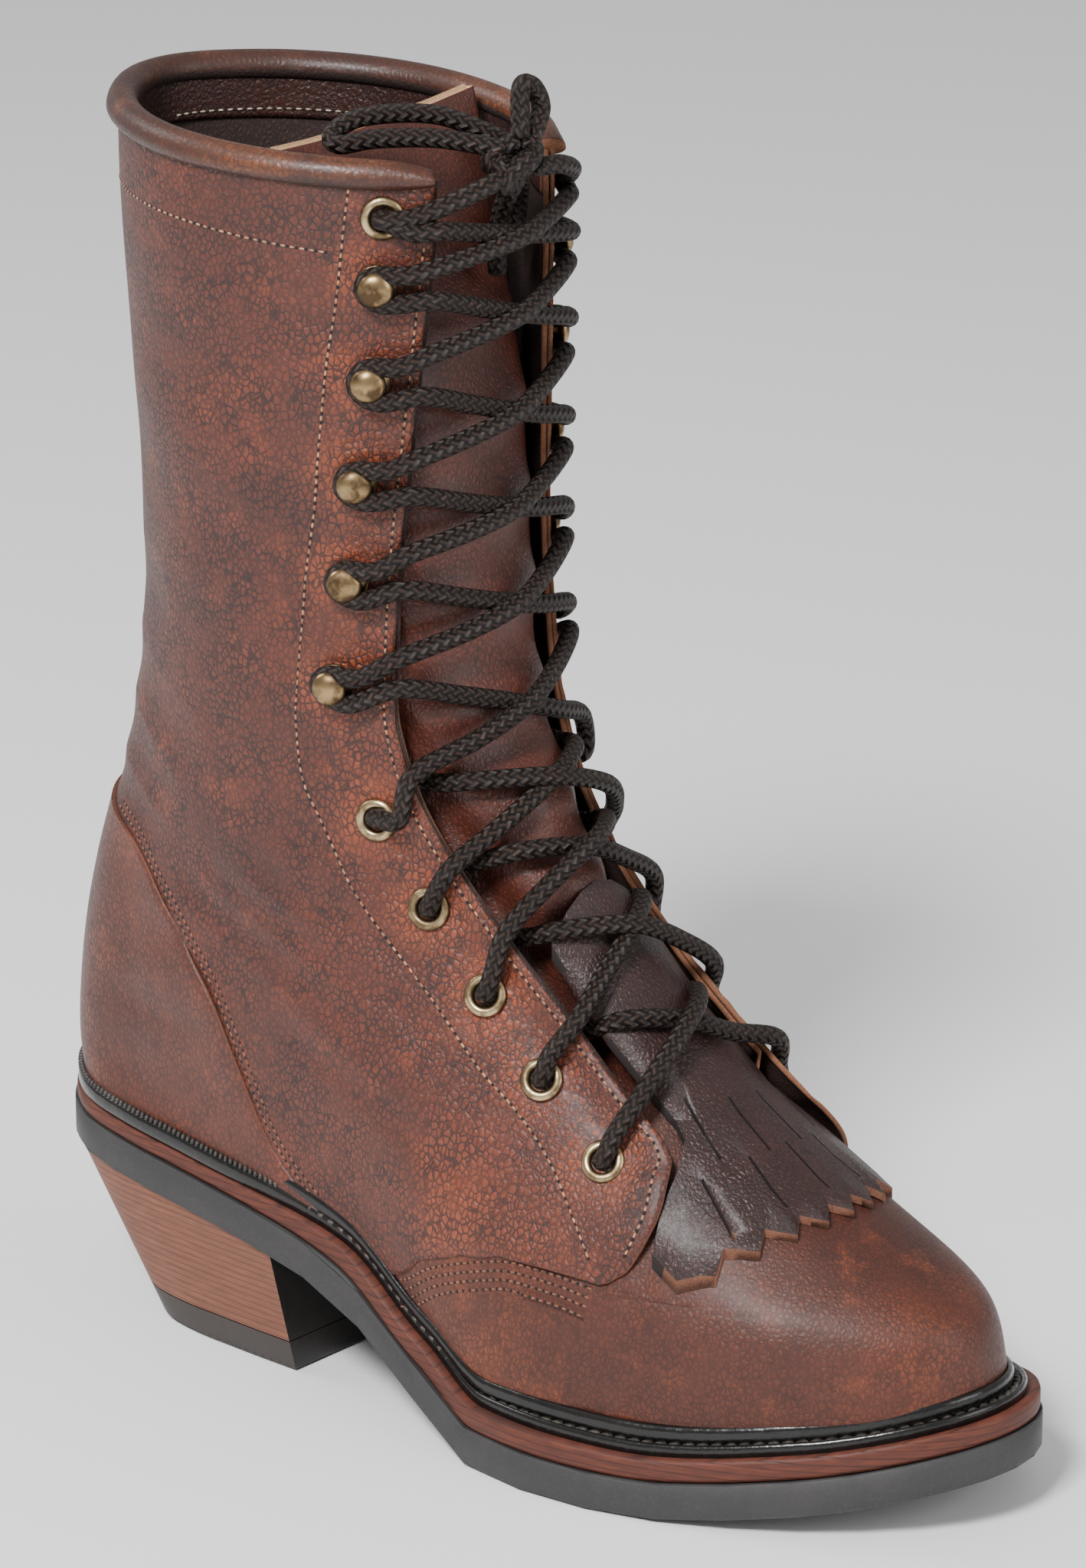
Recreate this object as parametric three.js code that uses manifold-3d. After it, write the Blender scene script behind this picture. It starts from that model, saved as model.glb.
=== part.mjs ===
// A right packer boot with a laced ten inch shaft, an underslung stacked heel and a lugged sole.
// Millimetres, +X to the toe, +Y to the inner (medial) side, +Z up.
// The origin is the centre of the heel's rest face, on the ground.
import * as THREE from "three";
import { mergeVertices } from "three/addons/utils/BufferGeometryUtils.js";
import Module from "manifold-3d";

const wasm = await Module();
wasm.setup();

// Sizes that set the boot
const SOLE_LENGTH = 292;
const SOLE_BACK = -62;
const BALL_WIDTH = 111;
const HEEL_HEIGHT = 45.5;
const TOE_SPRING = 14;
const UPPER_HEIGHT = 264;

// Layers of the sole
const OUTSOLE_THICK = 9.4;
const MIDSOLE_THICK = 3.8;
const WELT_THICK = 3.5;
const WELT_LIP = 3.4;
const WELT_LIP_WIDE = 2;
const INSOLE_THICK = 3;
const LUG_DEPTH = 3;
const MIDSOLE_INSET = 0.6;
const WELT_INSET = 1;
const GAP = 0.35;
const LIP_GAP = 0.7;

// Heel
const LIFT_THICK = 8;
const HEEL_REST_LENGTH = 65;
const HEEL_REST_WIDTH = 67;
const BREAST_AT = 0.315;
const HEEL_INSET = 1;

// Leather of the upper: how far each face lies from the shape given by the rings
const WALL_INSIDE = -2.1;
const VAMP_FACE = -0.5;
const QUARTER_FACE = 0.5;
const COUNTER_FACE = 1.4;
const BACKSTAY_WIDTH = 17;
const COLLAR_ROLL = 3.6;
const COLLAR_SKIRT = 3;
const COLLAR_LEATHER = 1.8;
const TONGUE_THICK = 2;
const TONGUE_TOP_AT = 33;
const TONGUE_FLARE = 0.09;
const TONGUE_TILT = 0.05;
const TONGUE_STANDS = 5;
const TONGUE_UNDER = -2.8;
const KILTIE_THICK = 1.8;
const KILTIE_HALF_WIDTH = 38;
const KILTIE_NECK = 18.6;
const KILTIE_REACH = 38.8;
const KILTIE_TUCK = 39.2;
const SLIT_ROWS = [
  { at: 3.8, reach: 16, count: 4 },
  { at: 16.8, reach: 25, count: 5 },
];
const KILTIE_TEETH = 9;
const SLIT_LENGTH = 14;
const SLIT_WIDTH = 0.8;

// Metal and lace
const EYELET_RADIUS = 5.4;
const EYELET_HOLE = 2.9;
const EYELET_BARREL = 3.4;
const EYELET_LIP = 1.1;
const HOOK_PLATE = 5.2;
const HOOK_HEAD = 4.3;
const HOOK_NECK = 2;
const HOOK_HEIGHT = 7.4;
const LACE_RADIUS = 2.2;
const KNOT_RADIUS = 5;

// Underside of the outsole from heel to toe: station along the sole, with its height as a share of
// the heel height and of the toe spring
const UNDERSIDE = [
  { at: 0, byHeel: 1, byToe: 0 },
  { at: 0.21, byHeel: 0.85, byToe: 0 },
  { at: 0.31, byHeel: 0.75, byToe: 0 },
  { at: 0.4, byHeel: 0.6, byToe: 0 },
  { at: 0.5, byHeel: 0.23, byToe: 0 },
  { at: 0.585, byHeel: 0, byToe: 0 },
  { at: 0.73, byHeel: 0, byToe: 0 },
  { at: 0.88, byHeel: 0, byToe: 0.39 },
  { at: 1, byHeel: 0, byToe: 1 },
];

// Outline of the sole: station, and the reach to the outer and inner side as shares of the ball width
const OUTLINE = [
  { at: 0.06, outer: 0.286, inner: 0.286 },
  { at: 0.13, outer: 0.344, inner: 0.344 },
  { at: 0.21, outer: 0.361, inner: 0.361 },
  { at: 0.31, outer: 0.372, inner: 0.372 },
  { at: 0.4, outer: 0.382, inner: 0.368 },
  { at: 0.5, outer: 0.419, inner: 0.374 },
  { at: 0.58, outer: 0.465, inner: 0.443 },
  { at: 0.66, outer: 0.482, inner: 0.504 },
  { at: 0.74, outer: 0.45, inner: 0.526 },
  { at: 0.82, outer: 0.377, inner: 0.503 },
  { at: 0.89, outer: 0.285, inner: 0.446 },
  { at: 0.94, outer: 0.192, inner: 0.37 },
];
const HEEL_ROUND = 0.34;
const TOE_ROUND = 0.277;
const TOE_SHIFT = 0.09;

// Width of the sole edge that stands out round the upper, by angle from the heel
const WELT_WIDTH = [
  { angle: 0, wide: 4.5 },
  { angle: 60, wide: 4.5 },
  { angle: 90, wide: 5 },
  { angle: 110, wide: 8 },
  { angle: 180, wide: 9 },
];

// Rings of the upper above the welt. Ends of a ring lie along the sole at shares of its length and at
// heights over the welt in shares of the upper's height. shift moves its front inwards and dip lets it
// follow the sole's curve. widths are half widths, shares of the ball width, at RING_ANGLES.
const RING_ANGLES = [0, 25, 45, 80, 110, 140, 180];
const RINGS = [
  { back: 0.009, backUp: 0.044, front: 0.971, frontUp: 0.014, shift: 0.08, dip: 0.85,
    widths: [0.6, 0.56, 0.43, 0.35, 0.47, 0.52, 0.535] },
  { back: 0.011, backUp: 0.107, front: 0.954, frontUp: 0.081, shift: 0.074, dip: 0.65,
    widths: [0.585, 0.54, 0.43, 0.37, 0.445, 0.5, 0.5] },
  { back: 0.019, backUp: 0.163, front: 0.877, frontUp: 0.136, shift: 0.06, dip: 0.42,
    widths: [0.56, 0.515, 0.425, 0.375, 0.41, 0.45, 0.43] },
  { back: 0.032, backUp: 0.22, front: 0.776, frontUp: 0.191, shift: 0.042, dip: 0.22,
    widths: [0.515, 0.48, 0.405, 0.37, 0.38, 0.4, 0.375] },
  { back: 0.046, backUp: 0.276, front: 0.681, frontUp: 0.261, shift: 0.027, dip: 0.08,
    widths: [0.46, 0.43, 0.385, 0.36, 0.355, 0.355, 0.335] },
  { back: 0.06, backUp: 0.334, front: 0.601, frontUp: 0.345, shift: 0.013, dip: 0,
    widths: [0.415, 0.395, 0.37, 0.355, 0.335, 0.33, 0.31] },
  { back: 0.072, backUp: 0.403, front: 0.545, frontUp: 0.443, shift: 0.007, dip: 0,
    widths: [0.375, 0.365, 0.36, 0.355, 0.335, 0.32, 0.305] },
  { back: 0.082, backUp: 0.488, front: 0.506, frontUp: 0.565, shift: 0.002, dip: 0,
    widths: [0.35, 0.345, 0.35, 0.36, 0.36, 0.34, 0.315] },
  { back: 0.087, backUp: 0.604, front: 0.485, frontUp: 0.701, shift: 0, dip: 0,
    widths: [0.335, 0.335, 0.35, 0.38, 0.38, 0.36, 0.325] },
  { back: 0.082, backUp: 0.748, front: 0.481, frontUp: 0.845, shift: 0, dip: 0,
    widths: [0.34, 0.35, 0.38, 0.405, 0.4, 0.375, 0.345] },
  { back: 0.077, backUp: 0.9, front: 0.484, frontUp: 0.996, shift: 0, dip: 0,
    widths: [0.355, 0.37, 0.4, 0.425, 0.415, 0.385, 0.36] },
  { back: 0.076, backUp: 0.987, front: 0.484, frontUp: 1.08, shift: 0, dip: 0,
    widths: [0.365, 0.38, 0.41, 0.43, 0.42, 0.395, 0.37] },
];
const TOP = RINGS.length;

// Lines on the upper, as ring level and angle from the heel
const THROAT_EDGE = [
  [12, 150], [11.2, 149], [10.3, 145], [9.1, 138], [8.4, 133.5], [7.9, 130.5], [7.4, 131],
  [6.8, 135], [6.1, 141], [5.3, 146], [4.6, 147], [4.3, 148],
];
const QUARTER_TIP = [[4.03, 146.5], [3.72, 141], [3.1, 131], [2.55, 123], [2.25, 118]];
const VAMP_SEAM = [[2.25, 114], [2.3, 110], [2.25, 104], [1.97, 98], [1.42, 91], [0.5, 86], [0, 84]];
const COUNTER_EDGE = [
  [5.2, 0], [5.05, 30], [4.93, 42], [4.4, 52], [3.78, 58], [3.12, 62], [2.17, 64], [1.58, 66],
  [0.97, 69], [0, 75],
];

// Fasteners: ring level and angle, and the level at which the throat's edge passes beside each
const EYELETS = [
  [3.88, 132, 4.55], [4.65, 130, 5.3], [5.43, 128, 6.1], [6.22, 124, 6.75], [7.03, 118.5, 7.42],
];
const HOOKS = [
  [8.17, 117, 8.35], [8.95, 124, 9.08], [9.63, 128, 9.72], [10.28, 132, 10.36], [10.87, 134, 10.94],
];
const TOP_EYELET = [11.45, 136, 11.5];

// Fineness of the faceted forms
const ROUND_STEPS = 40;
const SOLE_STEPS = 22;
const LEVELS = [0, 0.4, 1, 1.7, 2.4, 3.1, 3.8, 4.5, 5.2, 6, 6.8, 7.7, 8.8, 10.3, 12];

// Curve through a table that keeps rising and falling where the table does
function curveThrough(xs, ys) {
  const n = xs.length;
  const slope = xs.map(() => 0);
  const rise = [];
  for (let i = 0; i < n - 1; i++) {
    rise.push((ys[i + 1] - ys[i]) / (xs[i + 1] - xs[i]));
  }
  for (let i = 1; i < n - 1; i++) {
    if (rise[i - 1] * rise[i] > 0) {
      const h0 = xs[i] - xs[i - 1];
      const h1 = xs[i + 1] - xs[i];
      const w0 = 2 * h1 + h0;
      const w1 = h1 + 2 * h0;
      slope[i] = (w0 + w1) / (w0 / rise[i - 1] + w1 / rise[i]);
    }
  }
  slope[0] = rise[0];
  slope[n - 1] = rise[n - 2];
  return (x) => {
    const at = Math.min(Math.max(x, xs[0]), xs[n - 1]);
    let i = 0;
    while (i < n - 2 && at > xs[i + 1]) i++;
    const h = xs[i + 1] - xs[i];
    const t = (at - xs[i]) / h;
    const a = (1 + 2 * t) * (1 - t) * (1 - t) * ys[i] + t * t * (3 - 2 * t) * ys[i + 1];
    return a + h * (t * (1 - t) * (1 - t) * slope[i] - t * t * (1 - t) * slope[i + 1]);
  };
}

const rad = (degrees) => (degrees * Math.PI) / 180;
const stationOf = (angle) => (1 - Math.cos(rad(angle))) / 2;
const angleOf = (station) => (Math.acos(1 - 2 * station) * 180) / Math.PI;
const soleX = (station) => SOLE_BACK + SOLE_LENGTH * station;

// The sole's underside and the faces of its layers, as heights over the ground
const heelShare = curveThrough(UNDERSIDE.map((r) => r.at), UNDERSIDE.map((r) => r.byHeel));
const toeShare = curveThrough(UNDERSIDE.map((r) => r.at), UNDERSIDE.map((r) => r.byToe));
function underside(x) {
  const at = (x - SOLE_BACK) / SOLE_LENGTH;
  return HEEL_HEIGHT * heelShare(at) + TOE_SPRING * toeShare(at);
}
const MIDSOLE_TOP = OUTSOLE_THICK + GAP + MIDSOLE_THICK;
const WELT_FOOT = MIDSOLE_TOP + 1.7 * GAP;
const WELT_TOP = WELT_FOOT + WELT_THICK;
const weltTop = (x) => underside(x) + WELT_TOP;
const straightTop = (x) => {
  const at = (x - SOLE_BACK) / SOLE_LENGTH;
  return THREE.MathUtils.lerp(weltTop(SOLE_BACK), weltTop(SOLE_BACK + SOLE_LENGTH), at);
};

// The sole's outline: a width that follows the sine of the angle keeps both ends round
const outlineAngles = [0, ...OUTLINE.map((r) => angleOf(r.at)), 180];
const outlineWidths = [
  Math.sqrt((HEEL_ROUND * BALL_WIDTH * SOLE_LENGTH) / 2),
  ...OUTLINE.map((r) => ((r.outer + r.inner) * BALL_WIDTH) / 2 / Math.sin(rad(angleOf(r.at)))),
  Math.sqrt((TOE_ROUND * BALL_WIDTH * SOLE_LENGTH) / 2),
];
const widthAt = curveThrough(outlineAngles, outlineWidths);
const shiftAt = curveThrough(
  [0, ...OUTLINE.map((r) => r.at), 1],
  [0, ...OUTLINE.map((r) => ((r.inner - r.outer) * BALL_WIDTH) / 2), TOE_SHIFT * BALL_WIDTH],
);
const weltWide = curveThrough(WELT_WIDTH.map((r) => r.angle), WELT_WIDTH.map((r) => r.wide));

// Point of the outline at an angle from the heel, 0 to 180 on the outer side and on to 360 on the inner
function outlinePoint(turn, inset) {
  const angle = turn <= 180 ? turn : 360 - turn;
  const side = turn <= 180 ? -1 : 1;
  const back = inset(0);
  const x = SOLE_BACK + back + (SOLE_LENGTH - back - inset(180)) * stationOf(angle);
  const reach = Math.sin(rad(angle)) * (widthAt(angle) - inset(angle));
  return new THREE.Vector2(x, shiftAt(stationOf(angle)) + side * reach);
}

// Rings of the upper, with the first one along the welt
const ringWidth = RINGS.map((ring) => curveThrough(RING_ANGLES, ring.widths));
const toeTop = weltTop(SOLE_BACK + SOLE_LENGTH);
const heelTop = weltTop(SOLE_BACK);
function ringPoint(index, turn) {
  if (index === 0) {
    const p = outlinePoint(turn, weltWide);
    return new THREE.Vector3(p.x, p.y, weltTop(p.x) + GAP);
  }
  const ring = RINGS[index - 1];
  const angle = turn <= 180 ? turn : 360 - turn;
  const side = turn <= 180 ? -1 : 1;
  const along = stationOf(angle);
  const x = soleX(THREE.MathUtils.lerp(ring.back, ring.front, along));
  const plain = along * along * (3 - 2 * along);
  const asSole = shiftAt(along) / (TOE_SHIFT * BALL_WIDTH);
  const shift = ring.shift * BALL_WIDTH * THREE.MathUtils.lerp(plain, asSole, ring.dip);
  const y = shift + side * Math.sin(rad(angle)) * ringWidth[index - 1](angle) * BALL_WIDTH;
  const backZ = heelTop + ring.backUp * UPPER_HEIGHT;
  const frontZ = toeTop + ring.frontUp * UPPER_HEIGHT;
  const z = THREE.MathUtils.lerp(backZ, frontZ, along) + ring.dip * (weltTop(x) - straightTop(x));
  return new THREE.Vector3(x, y, z);
}

// Smooth skin through the rings, and the same moved along its normal
function skin(level, turn) {
  const k = Math.min(Math.floor(level), TOP - 1);
  const t = level - k;
  const p0 = ringPoint(Math.max(k - 1, 0), turn);
  const p1 = ringPoint(k, turn);
  const p2 = ringPoint(k + 1, turn);
  const p3 = ringPoint(Math.min(k + 2, TOP), turn);
  const m1 = p2.clone().sub(p0).multiplyScalar(0.5);
  const m2 = p3.clone().sub(p1).multiplyScalar(0.5);
  return p1.multiplyScalar(2 * t ** 3 - 3 * t ** 2 + 1)
    .addScaledVector(m1, t ** 3 - 2 * t ** 2 + t)
    .addScaledVector(p2, 3 * t ** 2 - 2 * t ** 3)
    .addScaledVector(m2, t ** 3 - t ** 2);
}
function skinNormal(level, turn) {
  const step = 0.02;
  const low = Math.max(level - step, 0);
  const high = Math.min(level + step, TOP);
  const up = skin(high, turn).sub(skin(low, turn));
  const before = (turn + 359) % 360;
  const after = (turn + 1) % 360;
  const round = skin(level, after).sub(skin(level, before));
  return up.cross(round).normalize().negate();
}
function skinOut(level, turn, out) {
  return skin(level, turn).addScaledVector(skinNormal(level, turn), out);
}

// Closed mesh from triangles of points, welded, without flat slivers and with its faces outwards
function closedGeometry(triangles) {
  const positions = new Float32Array(triangles.length * 9);
  triangles.flat().forEach((p, i) => positions.set([p.x, p.y, p.z], i * 3));
  let geometry = new THREE.BufferGeometry();
  geometry.setAttribute("position", new THREE.BufferAttribute(positions, 3));
  geometry = mergeVertices(geometry, 1e-3);
  const ids = geometry.index.array;
  const kept = [];
  for (let i = 0; i < ids.length; i += 3) {
    const [a, b, c] = [ids[i], ids[i + 1], ids[i + 2]];
    if (a !== b && b !== c && c !== a) kept.push(a, b, c);
  }
  geometry.setIndex(kept);
  return outwards(geometry);
}
function outwards(geometry) {
  const p = geometry.getAttribute("position");
  const ids = Array.from(geometry.index.array);
  const corner = (i) => new THREE.Vector3().fromBufferAttribute(p, i);
  let volume = 0;
  for (let i = 0; i < ids.length; i += 3) {
    volume += corner(ids[i]).dot(corner(ids[i + 1]).cross(corner(ids[i + 2])));
  }
  if (volume < 0) {
    for (let i = 0; i < ids.length; i += 3) {
      [ids[i + 1], ids[i + 2]] = [ids[i + 2], ids[i + 1]];
    }
    geometry.setIndex(ids);
  }
  return geometry;
}
const quad = (a, b, c, d) => [[a, b, c], [a, c, d]];

// Body between two grids of points with rows and columns, closed round the rows when loop is true
function between(A, B, loop = false) {
  const rows = A.length;
  const cols = A[0].length;
  const next = (j) => (j + 1) % cols;
  const last = loop ? cols : cols - 1;
  const out = [];
  for (let j = 0; j < last; j++) {
    for (let i = 0; i < rows - 1; i++) {
      out.push(...quad(A[i][j], A[i][next(j)], A[i + 1][next(j)], A[i + 1][j]));
      out.push(...quad(B[i][j], B[i + 1][j], B[i + 1][next(j)], B[i][next(j)]));
    }
    const m = rows - 1;
    out.push(...quad(A[0][next(j)], A[0][j], B[0][j], B[0][next(j)]));
    out.push(...quad(A[m][j], A[m][next(j)], B[m][next(j)], B[m][j]));
  }
  if (!loop) {
    const n = cols - 1;
    for (let i = 0; i < rows - 1; i++) {
      out.push(...quad(A[i][0], A[i + 1][0], B[i + 1][0], B[i][0]));
      out.push(...quad(A[i + 1][n], A[i][n], B[i][n], B[i + 1][n]));
    }
  }
  return closedGeometry(out);
}

// Body swept through sections that all have the points of one flat profile
function sweep(sections, profile, around) {
  const n = sections.length;
  const m = profile.length;
  const out = [];
  for (let i = 0; i < (around ? n : n - 1); i++) {
    const a = sections[i];
    const b = sections[(i + 1) % n];
    for (let j = 0; j < m; j++) {
      const k = (j + 1) % m;
      out.push(...quad(a[j], a[k], b[k], b[j]));
    }
  }
  if (!around) {
    for (const [a, b, c] of THREE.ShapeUtils.triangulateShape(profile, [])) {
      const cap = [sections[0], sections[n - 1]];
      const turned = THREE.ShapeUtils.isClockWise(profile);
      out.push(turned ? [cap[0][a], cap[0][b], cap[0][c]] : [cap[0][c], cap[0][b], cap[0][a]]);
      out.push(turned ? [cap[1][c], cap[1][b], cap[1][a]] : [cap[1][a], cap[1][b], cap[1][c]]);
    }
  }
  return closedGeometry(out);
}

// Solids for joining and cutting
function toSolid(geometry) {
  let g = geometry.clone();
  g.deleteAttribute("normal");
  g.deleteAttribute("uv");
  g = mergeVertices(g, 1e-3);
  const ids = Array.from(g.index.array);
  const kept = [];
  for (let i = 0; i < ids.length; i += 3) {
    const [a, b, c] = [ids[i], ids[i + 1], ids[i + 2]];
    if (a !== b && b !== c && c !== a) kept.push(a, b, c);
  }
  return new wasm.Manifold(new wasm.Mesh({
    numProp: 3,
    vertProperties: new Float32Array(g.getAttribute("position").array),
    triVerts: new Uint32Array(kept),
  }));
}
function fromSolid(solid) {
  const mesh = solid.getMesh();
  const geometry = new THREE.BufferGeometry();
  geometry.setAttribute("position", new THREE.BufferAttribute(new Float32Array(mesh.vertProperties), 3));
  geometry.setIndex(Array.from(mesh.triVerts));
  return geometry;
}

// Straight prisms from an outline: of the side view through the boot, and of the plan
const REACH = 2 * BALL_WIDTH;
function sidePrism(points) {
  const shape = new THREE.Shape(points.map((p) => new THREE.Vector2(p.x, p.z)));
  const geometry = new THREE.ExtrudeGeometry(shape, { depth: 2 * REACH, bevelEnabled: false });
  return geometry.rotateX(Math.PI / 2).translate(0, REACH, 0);
}
function planPrism(points, low, high) {
  const shape = new THREE.Shape(points);
  const geometry = new THREE.ExtrudeGeometry(shape, { depth: high - low, bevelEnabled: false });
  return geometry.translate(0, 0, low);
}
const sideLine = (rows) => rows.map(([level, angle]) => skin(level, angle));
const corner = (x, z) => new THREE.Vector3(x, 0, z);
const HIGH = heelTop + 1.3 * UPPER_HEIGHT;
const FAR_BACK = SOLE_BACK - REACH;
const FAR_FRONT = SOLE_BACK + SOLE_LENGTH + REACH;

// Layers of the sole: pairs of edge points at each station, at two heights over the underside
function soleLayer(inset, low, high, from = 0, to = 180) {
  const bottom = [];
  const top = [];
  for (let i = 0; i <= SOLE_STEPS; i++) {
    const angle = THREE.MathUtils.lerp(from, to, i / SOLE_STEPS);
    const pair = [outlinePoint(angle, inset), outlinePoint((360 - angle) % 360, inset)];
    bottom.push(pair.map((p) => new THREE.Vector3(p.x, p.y, underside(p.x) + low)));
    top.push(pair.map((p) => new THREE.Vector3(p.x, p.y, underside(p.x) + high)));
  }
  return between(top, bottom);
}

// Outsole: a curved plate whose forefoot has a sunk panel with bars round its rim and crosses inside
const PANEL_FROM = 0.5;
const PANEL_TO = 0.915;
const PANEL_MARGIN = 13;
const BAR_LENGTH = 15;
const BAR_WIDTH = 5;
const BARS = 24;
const CROSSES = 7;
const CROSS_RADIUS = 7;
function panelPoint(turn) {
  const angle = turn <= 180 ? turn : 360 - turn;
  const side = turn <= 180 ? -1 : 1;
  const station = THREE.MathUtils.lerp(PANEL_FROM, PANEL_TO, stationOf(angle));
  const soleAngle = angleOf(station);
  const half = Math.sin(rad(soleAngle)) * widthAt(soleAngle) - PANEL_MARGIN;
  const round = Math.min(1, Math.sin(rad(angle)) * 1.45);
  return new THREE.Vector2(soleX(station), shiftAt(station) + side * half * round);
}
function panelCutter() {
  const bottom = [];
  const top = [];
  for (let i = 0; i <= SOLE_STEPS / 2; i++) {
    const angle = (360 * i) / SOLE_STEPS;
    const pair = [panelPoint(angle), panelPoint((360 - angle) % 360)];
    top.push(pair.map((p) => new THREE.Vector3(p.x, p.y, underside(p.x) + LUG_DEPTH)));
    bottom.push(pair.map((p) => new THREE.Vector3(p.x, p.y, underside(p.x) - OUTSOLE_THICK)));
  }
  return between(top, bottom);
}
function lugPrisms() {
  const low = -OUTSOLE_THICK;
  const high = HEEL_HEIGHT;
  const prisms = [];
  const spine = (station) => new THREE.Vector2(soleX(station), shiftAt(station));
  for (let i = 0; i < BARS; i++) {
    const turn = (360 * (i + 0.5)) / BARS;
    const start = panelPoint(turn);
    const share = 0.12 + 0.76 * stationOf(Math.min(turn, 360 - turn));
    const station = THREE.MathUtils.lerp(PANEL_FROM, PANEL_TO, share);
    const inward = spine(station).sub(start).normalize();
    const across = new THREE.Vector2(-inward.y, inward.x);
    const foot = start.clone().addScaledVector(inward, -2);
    const tip = start.clone().addScaledVector(inward, BAR_LENGTH);
    const half = BAR_WIDTH / 2;
    prisms.push(planPrism([
      foot.clone().addScaledVector(across, half),
      foot.clone().addScaledVector(across, -half),
      tip.clone().addScaledVector(across, -half * 0.7),
      tip.clone().addScaledVector(across, half * 0.7),
    ], low, high));
  }
  for (let i = 0; i < CROSSES; i++) {
    const centre = spine(THREE.MathUtils.lerp(PANEL_FROM, PANEL_TO, 0.17 + (0.66 * i) / (CROSSES - 1)));
    const star = [];
    for (let k = 0; k < 8; k++) {
      const reach = k % 2 ? CROSS_RADIUS * 0.5 : CROSS_RADIUS;
      const at = rad(45 * k);
      star.push(new THREE.Vector2(centre.x + reach * Math.cos(at), centre.y + reach * Math.sin(at)));
    }
    prisms.push(planPrism(star, low, high));
  }
  return prisms;
}
function outsole() {
  const flush = () => 0;
  const plate = toSolid(soleLayer(flush, 0, OUTSOLE_THICK));
  const sunk = toSolid(panelCutter());
  let lugs = null;
  for (const prism of lugPrisms()) {
    const lug = toSolid(prism);
    lugs = lugs ? lugs.add(lug) : lug;
  }
  return fromSolid(plate.subtract(sunk.subtract(lugs)));
}
const midsole = () => soleLayer(() => MIDSOLE_INSET, OUTSOLE_THICK + GAP, MIDSOLE_TOP);

// Foot of the upper: the first ring carried straight down into the welt
const seatZ = (x) => underside(x) + WELT_FOOT;
function footPoint(turn, out) {
  const p = skinOut(0, turn, out);
  p.z = seatZ(p.x);
  return p;
}
function insole() {
  const low = [];
  const high = [];
  for (let i = 0; i <= ROUND_STEPS / 2; i++) {
    const turn = (360 * i) / ROUND_STEPS;
    const pair = [turn, (360 - turn) % 360].map((t) => footPoint(t, WALL_INSIDE - GAP));
    low.push(pair);
    high.push(pair.map((p) => p.clone().setZ(p.z + INSOLE_THICK)));
  }
  return between(high, low);
}

// Storm welt: a flat strip out to the sole's edge with a lip that leans on the upper
const settle = (level) => Math.min(1, level / 0.5);
function levelOver(turn, up) {
  let low = 0;
  let high = 2;
  for (let i = 0; i < 20; i++) {
    const middle = (low + high) / 2;
    const p = skin(middle, turn);
    if (p.z - weltTop(p.x) < up) low = middle;
    else high = middle;
  }
  return low;
}
function faceBeside(turn) {
  const angle = turn <= 180 ? turn : 360 - turn;
  if (angle < 84) return COUNTER_FACE;
  return angle < 96 ? QUARTER_FACE : VAMP_FACE;
}
function welt() {
  const sections = [];
  for (let i = 0; i < ROUND_STEPS; i++) {
    const turn = (360 * i) / ROUND_STEPS;
    const edge = outlinePoint(turn, () => WELT_INSET);
    const base = footPoint(turn, VAMP_FACE + GAP);
    const knee = skinOut(0, turn, VAMP_FACE + LIP_GAP);
    const level = levelOver(turn, WELT_LIP);
    const face = THREE.MathUtils.lerp(VAMP_FACE, faceBeside(turn), settle(level));
    const lean = skinOut(level, turn, face + LIP_GAP);
    const lip = new THREE.Vector3(lean.x, lean.y, weltTop(lean.x) + WELT_LIP);
    const outward = new THREE.Vector3(edge.x - base.x, edge.y - base.y, 0).normalize();
    const crest = lip.clone().addScaledVector(outward, 0.6 * WELT_LIP_WIDE);
    const root = base.clone().addScaledVector(outward, 1.6 * WELT_LIP_WIDE);
    sections.push([
      base,
      new THREE.Vector3(edge.x, edge.y, underside(edge.x) + WELT_FOOT),
      new THREE.Vector3(edge.x, edge.y, weltTop(edge.x)),
      root.setZ(weltTop(root.x)),
      crest,
      lip,
      knee.setZ(skin(0, turn).z),
    ]);
  }
  const profile = sections[0].map((p) => new THREE.Vector2(p.x, p.z));
  return sweep(sections, profile, true);
}

// Heel: a block that narrows from the seat to the rest face, and the top lift under it
const HEEL_STEPS = 10;
function heelSection(i, high) {
  const angle = (angleOf(BREAST_AT) * i) / HEEL_STEPS;
  const inset = () => HEEL_INSET;
  const seat = [outlinePoint(angle, inset), outlinePoint((360 - angle) % 360, inset)];
  const length = soleX(BREAST_AT) - SOLE_BACK - HEEL_INSET;
  const along = (seat[0].x - SOLE_BACK - HEEL_INSET) / length;
  const restX = HEEL_REST_LENGTH * (along - 0.5);
  const seatWidth = seat[1].y - seat[0].y;
  const widest = 2 * Math.sin(rad(angleOf(BREAST_AT))) * (widthAt(angleOf(BREAST_AT)) - HEEL_INSET);
  const restHalf = (0.5 * HEEL_REST_WIDTH * seatWidth) / widest;
  return seat.map((p, side) => {
    const top = new THREE.Vector3(p.x, p.y, underside(p.x) - GAP);
    const rest = new THREE.Vector3(restX, side ? restHalf : -restHalf, 0);
    const share = high === null ? 1 : high / top.z;
    return rest.lerp(top, share);
  });
}
function heelPart(low, high) {
  const bottom = [];
  const top = [];
  for (let i = 0; i <= HEEL_STEPS; i++) {
    bottom.push(heelSection(i, low));
    top.push(heelSection(i, high));
  }
  return between(top, bottom);
}

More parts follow.
